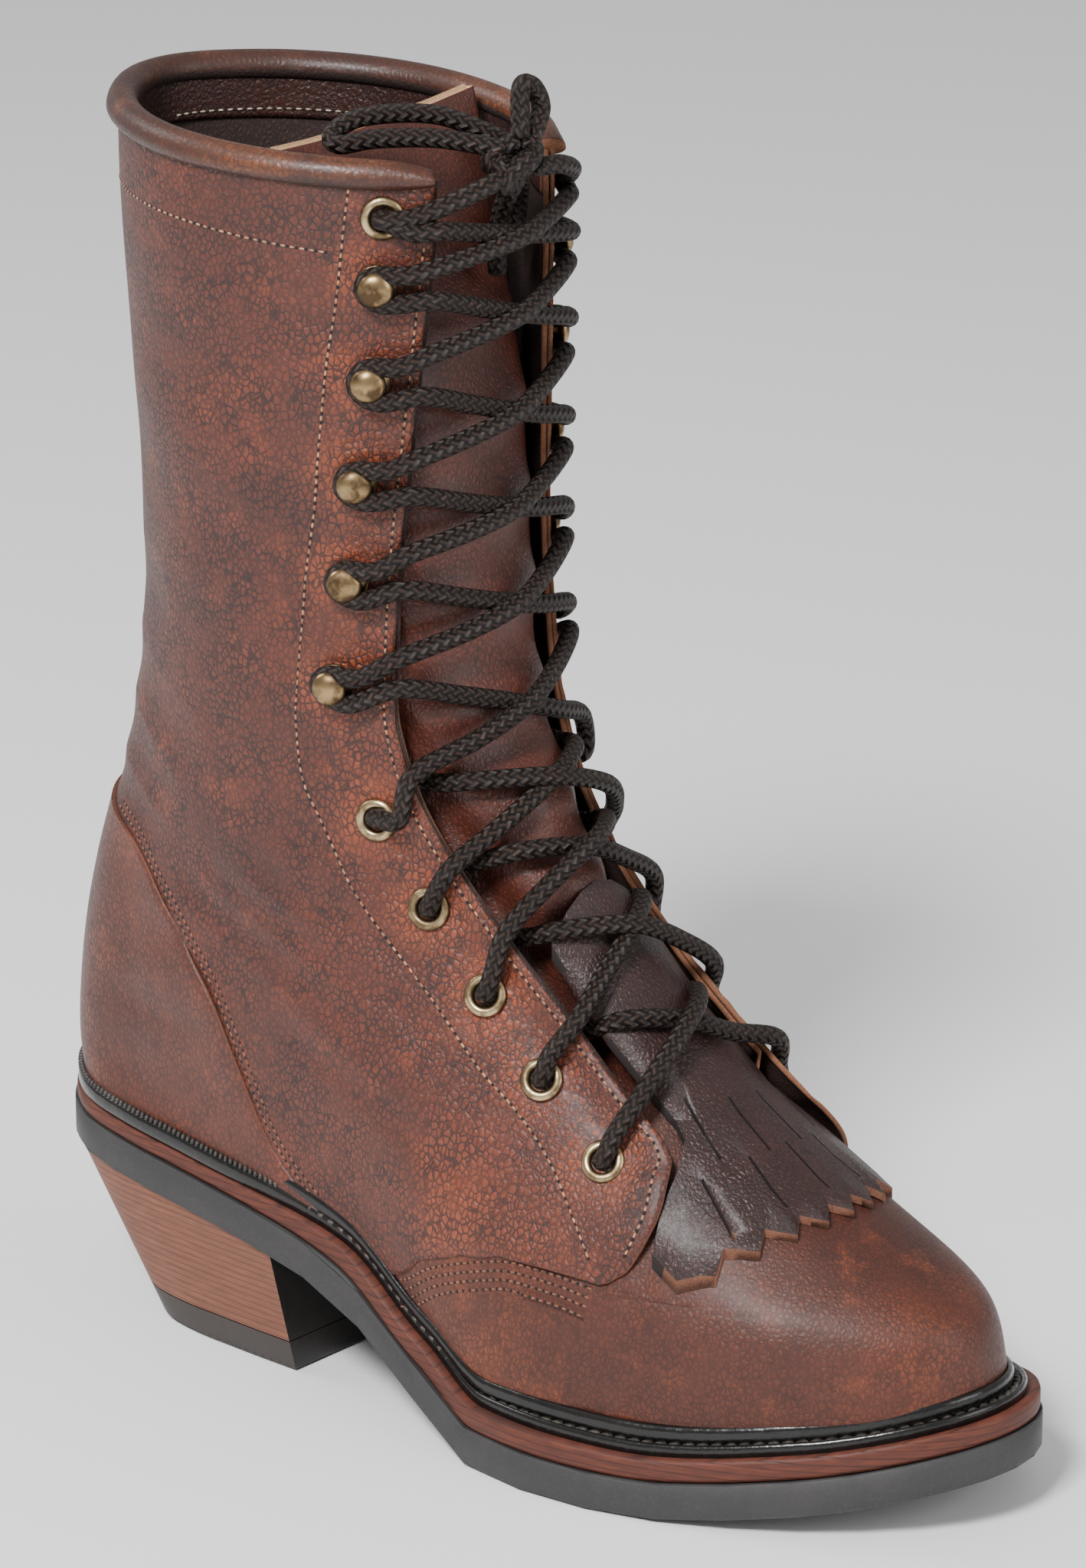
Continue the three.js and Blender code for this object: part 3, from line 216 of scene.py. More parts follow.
# The skin and its normals on a fine grid of levels and angles, read between its points
LEVEL_STEPS = 30
TURN_STEPS = 2


def skin_grid():
    """Place and outward direction at every level and angle of the fine grid."""
    turns = np.arange(360 * TURN_STEPS) / TURN_STEPS
    rings = np.stack([ring_point(i, turns) for i in range(TOP + 1)])
    level = np.arange(TOP * LEVEL_STEPS + 1) / LEVEL_STEPS
    k = np.clip(np.floor(level).astype(int), 0, TOP - 1)
    t = (level - k)[:, None, None]
    p0, p1, p2, p3 = (rings[np.clip(k + d, 0, TOP)] for d in (-1, 0, 1, 2))
    p = (2 * t ** 3 - 3 * t ** 2 + 1) * p1 + (t ** 3 - 2 * t ** 2 + t) * (p2 - p0) / 2
    p = p + (3 * t ** 2 - 2 * t ** 3) * p2 + (t ** 3 - t ** 2) * (p3 - p1) / 2
    round_ = np.roll(p, -2, 1) - np.roll(p, 2, 1)
    out = unit(np.cross(round_, np.gradient(p, axis=0)))
    return np.concatenate([p, out], -1)


SKIN = skin_grid()


def read_skin(level, turn, part):
    """Reads part of the grid between its points."""
    level, turn = np.broadcast_arrays(np.asarray(level, float), np.asarray(turn, float))
    a = np.clip(level, 0, TOP) * LEVEL_STEPS
    b = (turn % 360) * TURN_STEPS
    i = np.minimum(a.astype(int), TOP * LEVEL_STEPS - 1)
    j = b.astype(int) % (360 * TURN_STEPS)
    j1 = (j + 1) % (360 * TURN_STEPS)
    s, t = (a - i)[..., None], (b - np.floor(b))[..., None]
    p = SKIN[..., part]
    return (p[i, j] * (1 - s) * (1 - t) + p[i + 1, j] * s * (1 - t)
            + p[i, j1] * (1 - s) * t + p[i + 1, j1] * s * t)


def skin(level, turn):
    """Place on the last at a level and an angle."""
    return read_skin(level, turn, slice(0, 3))


def normal(level, turn):
    return unit(read_skin(level, turn, slice(3, 6)))


def skin_out(level, turn, out):
    """Place some millimetres outwards from the last."""
    out = np.asarray(out, float)
    return skin(level, turn) + normal(level, turn) * (out[..., None] if out.ndim else out)


edge_angle = curve_of(THROAT_EDGE[::-1])
bulge = curve_through([4, 6.6, 8, 12], [1, 1, .6, .5])
front_angle = curve_of(QUARTER_TIP[::-1] + THROAT_EDGE[::-1])
flare_height = curve_through([2.4, 3.1, 4.2, 7, 9, 12], [0, 2.4, 3.7, 3.3, 2.4, 1.2])


def flare(level, turn):
    """Lift of the quarter's front above the tongue, strongest at its edge."""
    turn = np.asarray(turn, float) % 360
    away = np.maximum(front_angle(level) - np.where(turn > 180, 360 - turn, turn), 0)
    more = .6 * np.clip((7.5 - np.asarray(level, float)) / 2.5, 0, 1) * (turn > 180)
    return flare_height(level) * (1 + more) * np.exp(-(away / 6.5) ** 2)


def bridge(level, s, lift):
    """Place on the sheet across the throat; s runs from -1 at the outer edge to 1 at the inner one."""
    level, s, lift = np.broadcast_arrays(*(np.asarray(v, float) for v in (level, s, lift)))
    edge = edge_angle(level)
    turn = edge + (s + 1) / 2 * (360 - 2 * edge)
    around = skin_out(level, turn, lift)
    t = ((s + 1) / 2)[..., None]
    flat = lerp(skin_out(level, edge, lift), skin_out(level, 360 - edge, lift), t)
    return np.where(np.abs(s)[..., None] >= 1, around, lerp(flat, around, bulge(level)[..., None]))


def across(a, b, flip, t, lift):
    """Place on a lace's way across the throat from level a to level b, at share t of the way."""
    def edge(level, inner):
        return skin(level, 360 - edge_angle(level) if inner else edge_angle(level))
    rise = .5 if a == b else 0
    along = edge(b + rise, 0) + edge(b + rise, 1) - edge(a, 0) - edge(a, 1)
    along = unit(along * [1, 0, 1])
    target = lerp(edge(a, flip < 0), edge(b, flip > 0), t) @ along
    s = flip * (2 * t - 1)
    low, high = a - 3, b + .5
    for _ in range(18):
        middle = (low + high) / 2
        if bridge(middle, s, lift) @ along < target:
            low = middle
        else:
            high = middle
    return bridge(low, s, lift)


def smooth(points, n):
    """n points along a soft curve through the given ones, evenly spaced by its length."""
    p = np.array(points, float)
    q = np.vstack([2 * p[0] - p[1], p, 2 * p[-1] - p[-2]])
    dense = []
    for i in range(len(p) - 1):
        t = np.linspace(0, 1, 24, endpoint=i == len(p) - 2)[:, None]
        a, b, c, d = q[i:i + 4]
        dense.append(.5 * (2 * b + (c - a) * t + (2 * a - 5 * b + 4 * c - d) * t ** 2
                           + (3 * b - a - 3 * c + d) * t ** 3))
    return evenly(np.vstack(dense), n)


def travelled(points):
    """Length of a line up to each of its points."""
    return np.r_[0, np.cumsum(np.linalg.norm(np.diff(points, axis=0), axis=1))]


def read_along(at, step, values):
    """Values given at the lengths in step, read at other lengths."""
    return np.stack([np.interp(at, step, values[:, k]) for k in range(values.shape[1])], -1)


def evenly(points, n):
    step = travelled(points)
    return read_along(np.linspace(0, step[-1], n), step, points)


def middles(step, pitch, least=1):
    """Middles of equal parts of a line, each about one pitch long."""
    count = max(least, int(step[-1] / pitch))
    return (np.arange(count) + .5) / count * step[-1]


# Meshes
def linked(name, data):
    """New object in the scene."""
    o = bpy.data.objects.new(name, data)
    bpy.context.collection.objects.link(o)
    return o


def new_mesh(name, points, faces, materials, indices=None, uvs=None):
    """Object from points in millimetres; indices gives each face's material."""
    mesh = bpy.data.meshes.new(name)
    mesh.from_pydata((np.asarray(points) * .001).tolist(), [], faces)
    for m in materials:
        mesh.materials.append(m)
    if indices is not None:
        mesh.polygons.foreach_set("material_index", indices)
    mesh.polygons.foreach_set("use_smooth", [True] * len(mesh.polygons))
    if uvs is not None:
        layer = mesh.uv_layers.new(name="UVMap")
        layer.data.foreach_set("uv", np.asarray(uvs, float).ravel())
    mesh.validate()
    return linked(name, mesh)


def only(o):
    bpy.ops.object.select_all(action="DESELECT")
    o.select_set(True)
    bpy.context.view_layer.objects.active = o


def outwards(o):
    """Joins doubled points and turns all faces outwards."""
    only(o)
    bpy.ops.object.mode_set(mode="EDIT")
    bpy.ops.mesh.select_all(action="SELECT")
    bpy.ops.mesh.remove_doubles(threshold=1e-6)
    bpy.ops.mesh.normals_make_consistent(inside=False)
    bpy.ops.object.mode_set(mode="OBJECT")
    return o


def shell(name, outer, inner, materials):
    """Closed wall from two grids of points: outer face, inner face and the cut edge round them."""
    rows, cols = outer.shape[:2]
    points = np.concatenate([outer.reshape(-1, 3), inner.reshape(-1, 3)])
    under = rows * cols
    faces, indices = [], []
    for i in range(rows - 1):
        for j in range(cols - 1):
            a, b = i * cols + j, i * cols + j + 1
            c, d = b + cols, a + cols
            faces += [(a, b, c, d), (under + d, under + c, under + b, under + a)]
            indices += [0, 1]
    grid = np.arange(under).reshape(rows, cols)
    rims = [line.tolist() for line in (grid[0], grid[-1, ::-1], grid[::-1, 0], grid[:, -1])]
    for rim in rims:
        for a, b in zip(rim, rim[1:]):
            faces.append((a, a + under, b + under, b))
            indices.append(2)
    return outwards(new_mesh(name, points, faces, materials, indices))


def ring_faces(rows, cols, closed=False):
    """Faces between rows of points that each run round; closed joins the last row to the first."""
    return [(i * cols + j, i * cols + (j + 1) % cols,
             (i + 1) % rows * cols + (j + 1) % cols, (i + 1) % rows * cols + j)
            for i in range(rows if closed else rows - 1) for j in range(cols)]


def cap_faces(row, cols, steps):
    """Faces that close one row of points from side to side."""
    faces = []
    for j in range(steps):
        corners = (j, j + 1, cols - j - 1, (cols - j) % cols)
        faces.append(tuple(dict.fromkeys(row * cols + k for k in corners)))
    return [f for f in faces if len(f) > 2]


def finish_piece(o, slot_name, *nodes):
    """Says where a piece rides and hides the nodes it replaces; its slot_name is not used."""
    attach(o, "root")
    if nodes:
        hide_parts(*nodes)
    return o


def tube(name, path, radius, materials, sides=14):
    """Round cord along a path in millimetres, with turns of the braid along v."""
    p = np.asarray(path, float)
    n = len(p)
    tangent = unit(np.gradient(p, axis=0))
    side = np.cross(tangent[0], [0, 0, 1.])
    if np.linalg.norm(side) < .1:
        side = np.cross(tangent[0], [0, 1., 0])
    sides_at = []
    for t in tangent:
        side = unit(side - t * (side @ t))
        sides_at.append(side)
    sides_at = np.array(sides_at)
    up = np.cross(tangent, sides_at)
    turn = 2 * math.pi * np.arange(sides) / sides
    ring = (np.cos(turn)[None, :, None] * sides_at[:, None] + np.sin(turn)[None, :, None] * up[:, None])
    points = p[:, None] + radius * ring
    v = travelled(p) / (2 * math.pi * radius)
    faces = ring_faces(n, sides)
    uvs = [(a / sides, v[b]) for i in range(n - 1) for j in range(sides)
           for a, b in ((j, i), (j + 1, i), (j + 1, i + 1), (j, i + 1))]
    points = points.reshape(-1, 3)
    for end, row in ((0, 0), (1, n - 1)):
        rim = [row * sides + j for j in range(sides)]
        faces.append(tuple(rim if end else rim[::-1]))
        uvs += [(.5, v[row])] * sides
    return new_mesh(name, points, faces, materials, uvs=uvs)


def beads(name, centres, along, out, size, materials, sides=6, rings=4):
    """Many small rounded stitches joined in one mesh; size is length, width and height."""
    template, faces = [], []
    for i in range(1, rings):
        a = math.pi * i / rings
        for j in range(sides):
            b = 2 * math.pi * j / sides
            template.append((-math.cos(a), math.sin(a) * math.cos(b), math.sin(a) * math.sin(b)))
    template = [(-1, 0, 0)] + template + [(1, 0, 0)]
    last = len(template) - 1
    for j in range(sides):
        k = (j + 1) % sides
        faces.append((0, 1 + k, 1 + j))
        for i in range(rings - 2):
            a, b = 1 + i * sides + j, 1 + i * sides + k
            faces.append((a, b, b + sides, a + sides))
        a = 1 + (rings - 2) * sides
        faces.append((a + j, a + k, last))
    t = np.array(template)
    along, out = unit(along), unit(out)
    width = np.cross(out, along)
    size = np.asarray(size, float) / 2
    points = (centres[:, None] + t[None, :, 0, None] * along[:, None] * size[0]
              + t[None, :, 1, None] * width[:, None] * size[1]
              + t[None, :, 2, None] * out[:, None] * size[2])
    count = len(t)
    all_faces = [tuple(v + count * i for v in f) for i in range(len(centres)) for f in faces]
    return new_mesh(name, points.reshape(-1, 3), all_faces, materials)


# Shader maths as expressions on sockets
class Maths:
    def __init__(self, tree, socket):
        self.tree, self.socket = tree, socket

    def node(self, kind, settings=None, **values):
        n = self.tree.nodes.new(kind)
        for key, value in (settings or {}).items():
            setattr(n, key, value)
        for key, value in values.items():
            key = int(key[1:]) if key[0] == "_" and key[1:].isdigit() else key.replace("_", " ")
            if isinstance(value, Maths):
                self.tree.links.new(value.socket, n.inputs[key])
            else:
                n.inputs[key].default_value = value
        return n

    def wrap(self, n, output=0):
        return Maths(self.tree, n.outputs[output])

    def new(self, kind, settings=None, output=0, **values):
        """Output of a new node, to go on with."""
        return self.wrap(self.node(kind, settings, **values), output)

    def op(self, operation, other=None):
        values = {"_0": self} if other is None else {"_0": self, "_1": other}
        return self.new("ShaderNodeMath", {"operation": operation}, **values)

    def __add__(self, other):
        return self.op("ADD", other)

    def __mul__(self, other):
        return self.op("MULTIPLY", other)

    def __sub__(self, other):
        return self.op("SUBTRACT", other)

    def __rsub__(self, other):
        return self * -1 + other

    def __truediv__(self, other):
        return self.op("DIVIDE", other)

    def floor(self):
        return self.op("FLOOR")

    def fract(self):
        return self.op("FRACT")

    def size(self):
        return self.op("ABSOLUTE")

    __radd__ = __add__
    __rmul__ = __mul__

    def band(self, low, high):
        """0 below low, 1 above high, softly between; low may be the larger one."""
        return self.new("ShaderNodeMapRange", {"interpolation_type": "SMOOTHSTEP"},
                        Value=self, From_Min=low, From_Max=high)

    def mix(self, a, b):
        """Colour a where this value is 0, b where it is 1; either may be a hex code."""
        a, b = (v if isinstance(v, Maths) else (*rgb(v), 1) for v in (a, b))
        return self.new("ShaderNodeMix", {"data_type": "RGBA"}, 2, _0=self, _6=a, _7=b)


class Finish:
    """One material: helpers for its patterns, and the shader that they feed."""

    def __init__(self, name, **fixed):
        self.material = bpy.data.materials.new(name)
        self.material.use_nodes = True
        self.tree = self.material.node_tree
        self.shader = self.tree.nodes["Principled BSDF"]
        for key, value in fixed.items():
            self.shader.inputs[key.replace("_", " ")].default_value = value
        self.root = Maths(self.tree, None)
        coords = self.root.node("ShaderNodeTexCoord")
        self.place, self.uv = (self.root.wrap(coords, k) for k in ("Object", "UV"))

    def noise(self, scale, detail=3, rough=.55, at=None):
        return self.root.new("ShaderNodeTexNoise", Vector=at or self.place, Scale=scale,
                             Detail=detail, Roughness=rough)

    def cells(self, scale, at=None):
        """Distance to the nearest edge between cells."""
        return self.root.new("ShaderNodeTexVoronoi", {"feature": "DISTANCE_TO_EDGE"},
                             Vector=at or self.place, Scale=scale)

    def stretched(self, x, y, z):
        return self.root.new("ShaderNodeMapping", Vector=self.place, Scale=(x, y, z))

    def wandering(self, share):
        """The place, drawn out upwards and pulled about by a fine noise."""
        pull = self.root.new("ShaderNodeTexNoise", None, 1, Vector=self.place, Scale=260.0)
        return self.root.new("ShaderNodeMix", {"data_type": "VECTOR"}, 1, _0=share,
                             _4=self.stretched(1.15, 1.15, .85), _5=pull)

    def axes(self, source=None):
        n = self.root.node("ShaderNodeSeparateXYZ", Vector=source or self.place)
        return [self.root.wrap(n, i) for i in range(3)]

    def paint(self, name):
        return self.root.new("ShaderNodeAttribute", {"attribute_name": name}, 2)

    def wire(self, **links):
        for key, value in links.items():
            self.tree.links.new(value.socket, self.shader.inputs[key.replace("_", " ")])
        return self

    def bump(self, *layers):
        """layers are height, distance in millimetres, strength; the first one is the coarsest."""
        before = None
        for height, distance, strength in layers:
            coarser = {"Normal": before} if before else {}
            before = self.root.new("ShaderNodeBump", Height=height, Strength=strength,
                                   Distance=distance * .001, **coarser)
        return self.wire(Normal=before)


def rgb(hex_code):
    """Linear colour of a hex code."""
    parts = [int(hex_code[i:i + 2], 16) / 255 for i in (0, 2, 4)]
    return tuple(c / 12.92 if c <= .04045 else ((c + .055) / 1.055) ** 2.4 for c in parts)


def leather(name, base, dark, tan, pit, grain, pebble=.5, gloss=.42, coat=.12, shade=.4, mark=1.0):
    """Grain leather: base colour with darker pits between pebbles and tan where it is worn."""
    f = Finish(name, Coat_Weight=coat, Coat_Roughness=.32, Specular_IOR_Level=.38)
    warp = f.noise(160, 2)
    fine = f.cells(grain, f.wandering(.0005))
    crease = f.cells(grain * .4, f.stretched(1.3, 1.3, .7))
    pits = fine.band(.2, .03) * (f.noise(110, 3).band(.35, .6) * .45 + .55)
    folds = crease.band(.08, .0) * f.noise(38, 2).band(.5, .72)
    cloud = f.noise(24, 5, .62).band(.3, .72)
    speck = f.noise(900, 2)
    colour = (cloud * .75).mix(base, dark)
    colour = (f.noise(75, 4, .6).band(.52, .78) * shade).mix(colour, tan)
    worn = f.paint("worn")
    colour = (worn * f.noise(55, 3).band(.25, .6)).mix(colour, tan)
    colour = (pits * (.85 * mark)).mix(colour, pit)
    colour = (folds * (.5 * mark)).mix(colour, pit)
    colour = (speck.band(.42, .66) * .42).mix(colour, dark)
    rough = gloss + .18 * f.noise(60, 3) + .12 * pits - .08 * worn
    f.wire(Base_Color=colour, Roughness=rough)
    small = f.cells(grain * 2.1)
    height = fine.band(0, .55) + small.band(0, .4) * .3 + crease.band(0, .12) * .3
    return f.bump((f.noise(30, 3), 1.6, min(.3, .5 * pebble)), (height, .7 * pebble, .8),
                  (warp + speck * .4, .12, .35)).material


quarter_leather = leather("oiled_grain_leather", "622e1f", "40221c", "9c4c2b", "1d1515", 560, .4, .39, .1)
vamp_leather = leather("vamp_leather", "55291b", "371b15", "874425", "281613", 640, .2, .43, .08, .62, .7)
counter_leather = leather("smooth_counter_leather", "602f20", "3e221a", "8c482b",
                          "2a1d1e", 560, .22, .38, .12, .55, .75)
collar_leather = leather("collar_leather", "49271c", "2f1c17", "7f4829",
                         "231817", 520, .14, .36, .12, .45, .6)
tongue_leather = leather("soft_tongue_leather", "572a1e", "381913", "7f3d2a",
                         "1f0f0e", 640, .25, .36, .14, .35, .7)
dark_leather = leather("waxed_dark_leather", "3a211d", "261614", "4f2e24",
                       "130c0b", 640, .32, .33, .14, .25, .8)
lining = leather("shaft_lining", "33221d", "2a1c19", "45302a", "1d1513", 700, .2, .6, 0, .15)


def lift_tread():
    """Rubber of the top lift, with fine diamonds on the face that meets the ground, painted darker in their
    grooves as shade.
    """
    f = Finish("lift_rubber_tread")
    x, y, z = f.axes()
    face = z.band(.0012, .0004)
    a = (((x + y) * 330).fract() - .5).size()
    b = (((x - y) * 330).fract() - .5).size()
    groove = (a.band(.36, .47) + b.band(.36, .47)).op("MINIMUM", 1) * face
    dust = f.noise(60, 4).band(.4, .75)
    colour = (dust * .4).mix("2d2623", "453c37")
    # Grooves painted darker than the face: painted shade in them.
    colour = (groove * .6).mix(colour, "171312")
    f.wire(Base_Color=colour, Roughness=.58 + .1 * dust)
    return f.bump((groove, -.5, .9), (f.noise(500, 3), .12, .5)).material


def cut_edge(name, light, dark):
    """Fibres of a cut edge."""
    f = Finish(name, Roughness=.78)
    fibre = f.noise(2600, 3, .7)
    layer = f.noise(300, 2)
    f.wire(Base_Color=(fibre.band(.3, .7) * .7 + layer * .3).mix(dark, light))
    return f.bump((fibre, .25, .5)).material


tan_edge = cut_edge("raw_tan_edge", "8d5a3d", "50301f")
light_edge = cut_edge("pale_cut_edge", "e0b589", "a5754f")
dark_edge = cut_edge("waxed_dark_edge", "7a4a31", "3b241c")


def thread(name, colour, dark, rough=.7):
    """Twisted thread with a slight change of tone."""
    f = Finish(name, Roughness=rough)
    f.wire(Base_Color=f.noise(700, 2).band(.3, .7).mix(dark, colour))
    return f.bump((f.noise(2200, 2), .15, .5)).material


cream_thread = thread("cream_thread", "b78c6b", "6b4b38")
brown_thread = thread("brown_thread", "8e5a41", "4f2f23")
pale_thread = thread("pale_thread", "bfae97", "7b6a58")
# Near-black finish for the needle holes and the kiltie's slits: painted shade inside these holes.
painted_hole_shade = Finish("hole_shade_finish", Roughness=.9, Base_Color=(*rgb("1a1110"), 1)).material


def brass(name, dark, light):
    """Worn brass: dark where it is dull, light where it is rubbed."""
    f = Finish(name, Metallic=1.0)
    wear = f.noise(240, 4).band(.38, .62)
    patch = f.noise(90, 2).band(.4, .7)
    colour = (wear * .85).mix(dark, light)
    colour = (patch * .35).mix(colour, dark)
    f.wire(Base_Color=colour, Roughness=.46 - .16 * wear)
    return f.bump((f.noise(600, 3), .06, .3)).material


def braid(name, base, light, dark):
    """Round braided cord: two families of strands that cross over the surface, with painted shade where the
    strands run low and a painted highlight on their tops.
    """
    f = Finish(name, Roughness=.6, Specular_IOR_Level=.28)
    u, v, _ = f.axes(f.uv)
    a = (u * 6 + v * 5).fract()
    b = (u * 6 - v * 5).fract()
    ridge_a = 1 - (a - .5).size() * 2
    ridge_b = 1 - (b - .5).size() * 2
    over = ((u * 6 + v * 5).floor() + (u * 6 - v * 5).floor()).op("MODULO", 2).size()
    height = over * ridge_a + (1 - over) * ridge_b
    fleck = f.noise(260, 1).band(.62, .68) * over * .6
    # Darker where the strands run low: painted shade between them.
    colour = height.band(.05, .5).mix(dark, base)
    colour = (fleck * height.band(.4, .8)).mix(colour, light)
    # Lighter on the strands' tops: painted highlight.
    colour = (height.band(.6, 1) * .45).mix(colour, light)
    f.wire(Base_Color=colour)
    return f.bump((height, .7, 1.0)).material


def stacked(name, light, dark, line, pitch):
    """Leather lifts seen from the edge: fine level lines with the dressing's streaks."""
    f = Finish(name, Specular_IOR_Level=.35)
    z = f.axes()[2]
    wobble = f.noise(25, 2) * .0012
    layer = ((z + wobble) / (pitch * .001)).fract()
    gap = (layer - .5).size().band(.34, .5)
    streak = f.noise(130, 4, .6, f.stretched(1, 1, 7))
    colour = (streak.band(.25, .8) * .8).mix(dark, light)
    colour = (f.noise(30, 2).band(.35, .7) * .35).mix(colour, dark)
    colour = (gap * .6).mix(colour, line)
    f.wire(Base_Color=colour, Roughness=.5 + .15 * streak)
    return f.bump((gap, -.12, .5), (streak, .1, .3)).material


def moulded(name, base, light, rough, grain=500, fine=.12):
    """Rubber or dressed edge with a little dust."""
    f = Finish(name)
    dust = f.noise(45, 4).band(.45, .75)
    colour = (dust * .35).mix(base, light)
    colour = (f.noise(grain * 2, 2).band(.5, .7) * .3).mix(colour, light)
    f.wire(Base_Color=colour, Roughness=rough + .15 * f.noise(120, 3))
    return f.bump((f.noise(grain, 3), fine, .5)).material


ring_metal = brass("worn_eyelet_metal", "6b5941", "c6b088")
stud_metal = brass("antique_brass", "51412f", "a68c66")
# Lace colours: strands, then flecks and the painted highlight on strand tops, then painted shade between
# strands.
lace_braid = braid("braided_lace", "1e1512", "4c3a30", "050403")
heel_stack = stacked("stacked_heel", "8d5a44", "673d2d", "3d241b", 1.9)
sole_edge = stacked("midsole_edge", "6b3626", "46231a", "2a1511", 2.0)
outsole_rubber = moulded("outsole_rubber", "2b2a2a", "3d3b3a", .55)
welt_black = moulded("dressed_welt", "0b0a09", "221d1b", .16, 300, .35)
rand_grey = moulded("heel_rand", "2b2826", "6a6560", .45)
breast_black = moulded("dressed_breast", "151312", "2e2a28", .35)
welt_thread = thread("waxed_welt_thread", "47413b", "12100e", .5)


# Panels of the upper
PANEL_ROWS = 300
# Soft folds over the vamp: place along the boot, both ends across it, depth
VAMP_FOLDS = [(150, -60, -22, .5), (158, 30, 60, .5), (140, -60, -30, .5), (168, 24, 52, .35)]
BACK_SEAM = 8.0


def front_line(n):
    """Front edge of the quarter from the welt to the collar, as rows of level and angle."""
    line = np.array(VAMP_SEAM[::-1] + QUARTER_TIP[::-1] + THROAT_EDGE[::-1], float)
    dense = np.vstack([line[:1]] + [lerp(a, b, np.linspace(0, 1, 20)[1:, None])
                                    for a, b in zip(line, line[1:])])
    for _ in range(4):
        dense[1:-1] = (dense[:-2] + 2 * dense[1:-1] + dense[2:]) / 4
    place = skin(dense[:, 0], dense[:, 1])
    step = travelled(place)
    return read_along(np.linspace(0, step[-1], n), step, dense)


def mirrored(turn, inner):
    """Angle on the inner or the outer side."""
    return 360 - turn if inner else turn


# Creases on both sides: level and angle of the two ends, width and depth in millimetres
CREASES = [
    (4.9, 62, 4.2, 96, 5, .9), (5.4, 70, 4.7, 108, 4, .6), (5.9, 84, 5.5, 112, 4, .6),
    (6.6, 96, 6.3, 116, 4, .5), (7.4, 20, 7.0, 62, 9, .8), (8.1, 10, 8.3, 50, 10, .7),
    (6.5, 18, 6.2, 52, 8, .8), (5.6, 22, 5.4, 48, 6, .7), (3.3, 76, 2.9, 104, 4, .5),
    (8.2, 104, 8.9, 116, 3, .5), (9.0, 112, 9.6, 121, 3, .5), (7.5, 108, 8.1, 112, 3, .6),
    (10.0, 122, 10.5, 128, 3, .4), (6.6, 112, 7.2, 116, 3, .6), (5.0, 120, 5.3, 126, 3, .5),
    (9.4, 50, 9.1, 84, 12, .5), (10.4, 60, 10.2, 92, 14, .4),
]
hand = random.Random(7)
for _ in range(46):
    at = hand.uniform(3.9, 11)
    reach = float(edge_angle(at))
    start = reach - hand.uniform(8, 17)
    CREASES.append((at, start, at + hand.uniform(-.25, .3), start + hand.uniform(4, 9),
                    hand.uniform(1.2, 2.6), hand.uniform(.15, .4)))


def crease_depth(points, inner):
    """Depth at each point of the creases that run over one side of the boot."""
    depth = np.zeros(points.shape[:-1])
    for l0, a0, l1, a1, width, deep in CREASES:
        ends = skin(np.array([l0, (l0 + l1) / 2 + .06, l1]),
                    mirrored(np.array([a0, (a0 + a1) / 2, a1]), inner))
        for p, q in ((ends[0], ends[1]), (ends[1], ends[2])):
            d = q - p
            t = np.clip(((points - p) @ d) / (d @ d), 0, 1)
            away = np.linalg.norm(points - (p + t[..., None] * d), axis=-1)
            near = np.exp(-(away / width) ** 2)
            half = .5 + .5 * np.cos(np.clip(away / (2.6 * width), 0, 1) * math.pi)
            depth = np.maximum(depth, deep * near) - .18 * deep * half * (near < .3)
    return depth


def soft_noise(points, scale, seed):
    """Slow wandering value between about -1 and 1."""
    spin = random.Random(seed)
    value = np.zeros(points.shape[:-1])
    for i in range(5):
        d = np.array([spin.gauss(0, 1) for _ in range(3)])
        value = value + np.sin(points @ (d / np.linalg.norm(d)) * scale * (1 + .5 * i) + spin.uniform(0, 6))
    return value / 3


def worn_paint(o, value):
    """Share of wear at each vertex, from its place in millimetres."""
    layer = o.data.attributes.new("worn", "FLOAT", "POINT")
    place = np.empty(len(o.data.vertices) * 3)
    o.data.vertices.foreach_get("co", place)
    layer.data.foreach_set("value", value(place.reshape(-1, 3) * 1000))


fastening_places = np.array([skin(r[0], mirrored(r[1], i)) for r in HOOKS + EYELETS for i in (0, 1)])
throat_rows = np.linspace(4.3, 12, 60)
throat_line = np.concatenate([skin(throat_rows, mirrored(edge_angle(throat_rows), i)) for i in (0, 1)])


def quarter_wear(p):
    """Wear round eyelets and hooks, along the throat and where the ankle flexes."""
    near = np.min(np.linalg.norm(p[:, None] - fastening_places[None], axis=-1), axis=1)
    edge = np.min(np.linalg.norm(p[:, None] - throat_line[None], axis=-1), axis=1)
    flex = np.exp(-((p[:, 0] - 96) / 26) ** 2 - ((p[:, 2] - 62) / 20) ** 2)
    return np.clip(.595 * np.exp(-((near - 7) / 5) ** 2) + .75 * np.exp(-edge / 3) + .5 * flex, 0, 1)


def panel(name, level, turns, out, inside, materials, wear=None, slot="upper_leather", nodes=("upper",)):
    """Sheet between two heights above the last, at a grid of levels and angles."""
    o = shell(name, skin_out(level, turns, out), skin_out(level, turns, inside), materials)
    if wear:
        worn_paint(o, wear)
    return finish_piece(o, slot, *nodes)


def quarter(inner):
    """Quarter and shaft of one side, from the back seam to the throat."""
    line = front_line(PANEL_ROWS)
    share = np.linspace(0, 1, 110) ** .8
    turns = BACK_SEAM + (line[:, 1:] - BACK_SEAM) * share[None]
    level = np.broadcast_to(line[:, :1], turns.shape)
    turns = mirrored(turns, inner)
    place = skin(level, turns)
    rim = np.minimum(1, (1 - share)[None] * 40)
    lift = flare(level, turns)
    out = QUARTER_FACE + lift - crease_depth(place, inner)
    out += .35 * soft_noise(place, .045, 3) - .35 * (1 - rim)
    return panel("quarter_inner" if inner else "quarter_outer", level, turns, out, -1.2 + lift,
                 [quarter_leather, lining, tan_edge], quarter_wear)


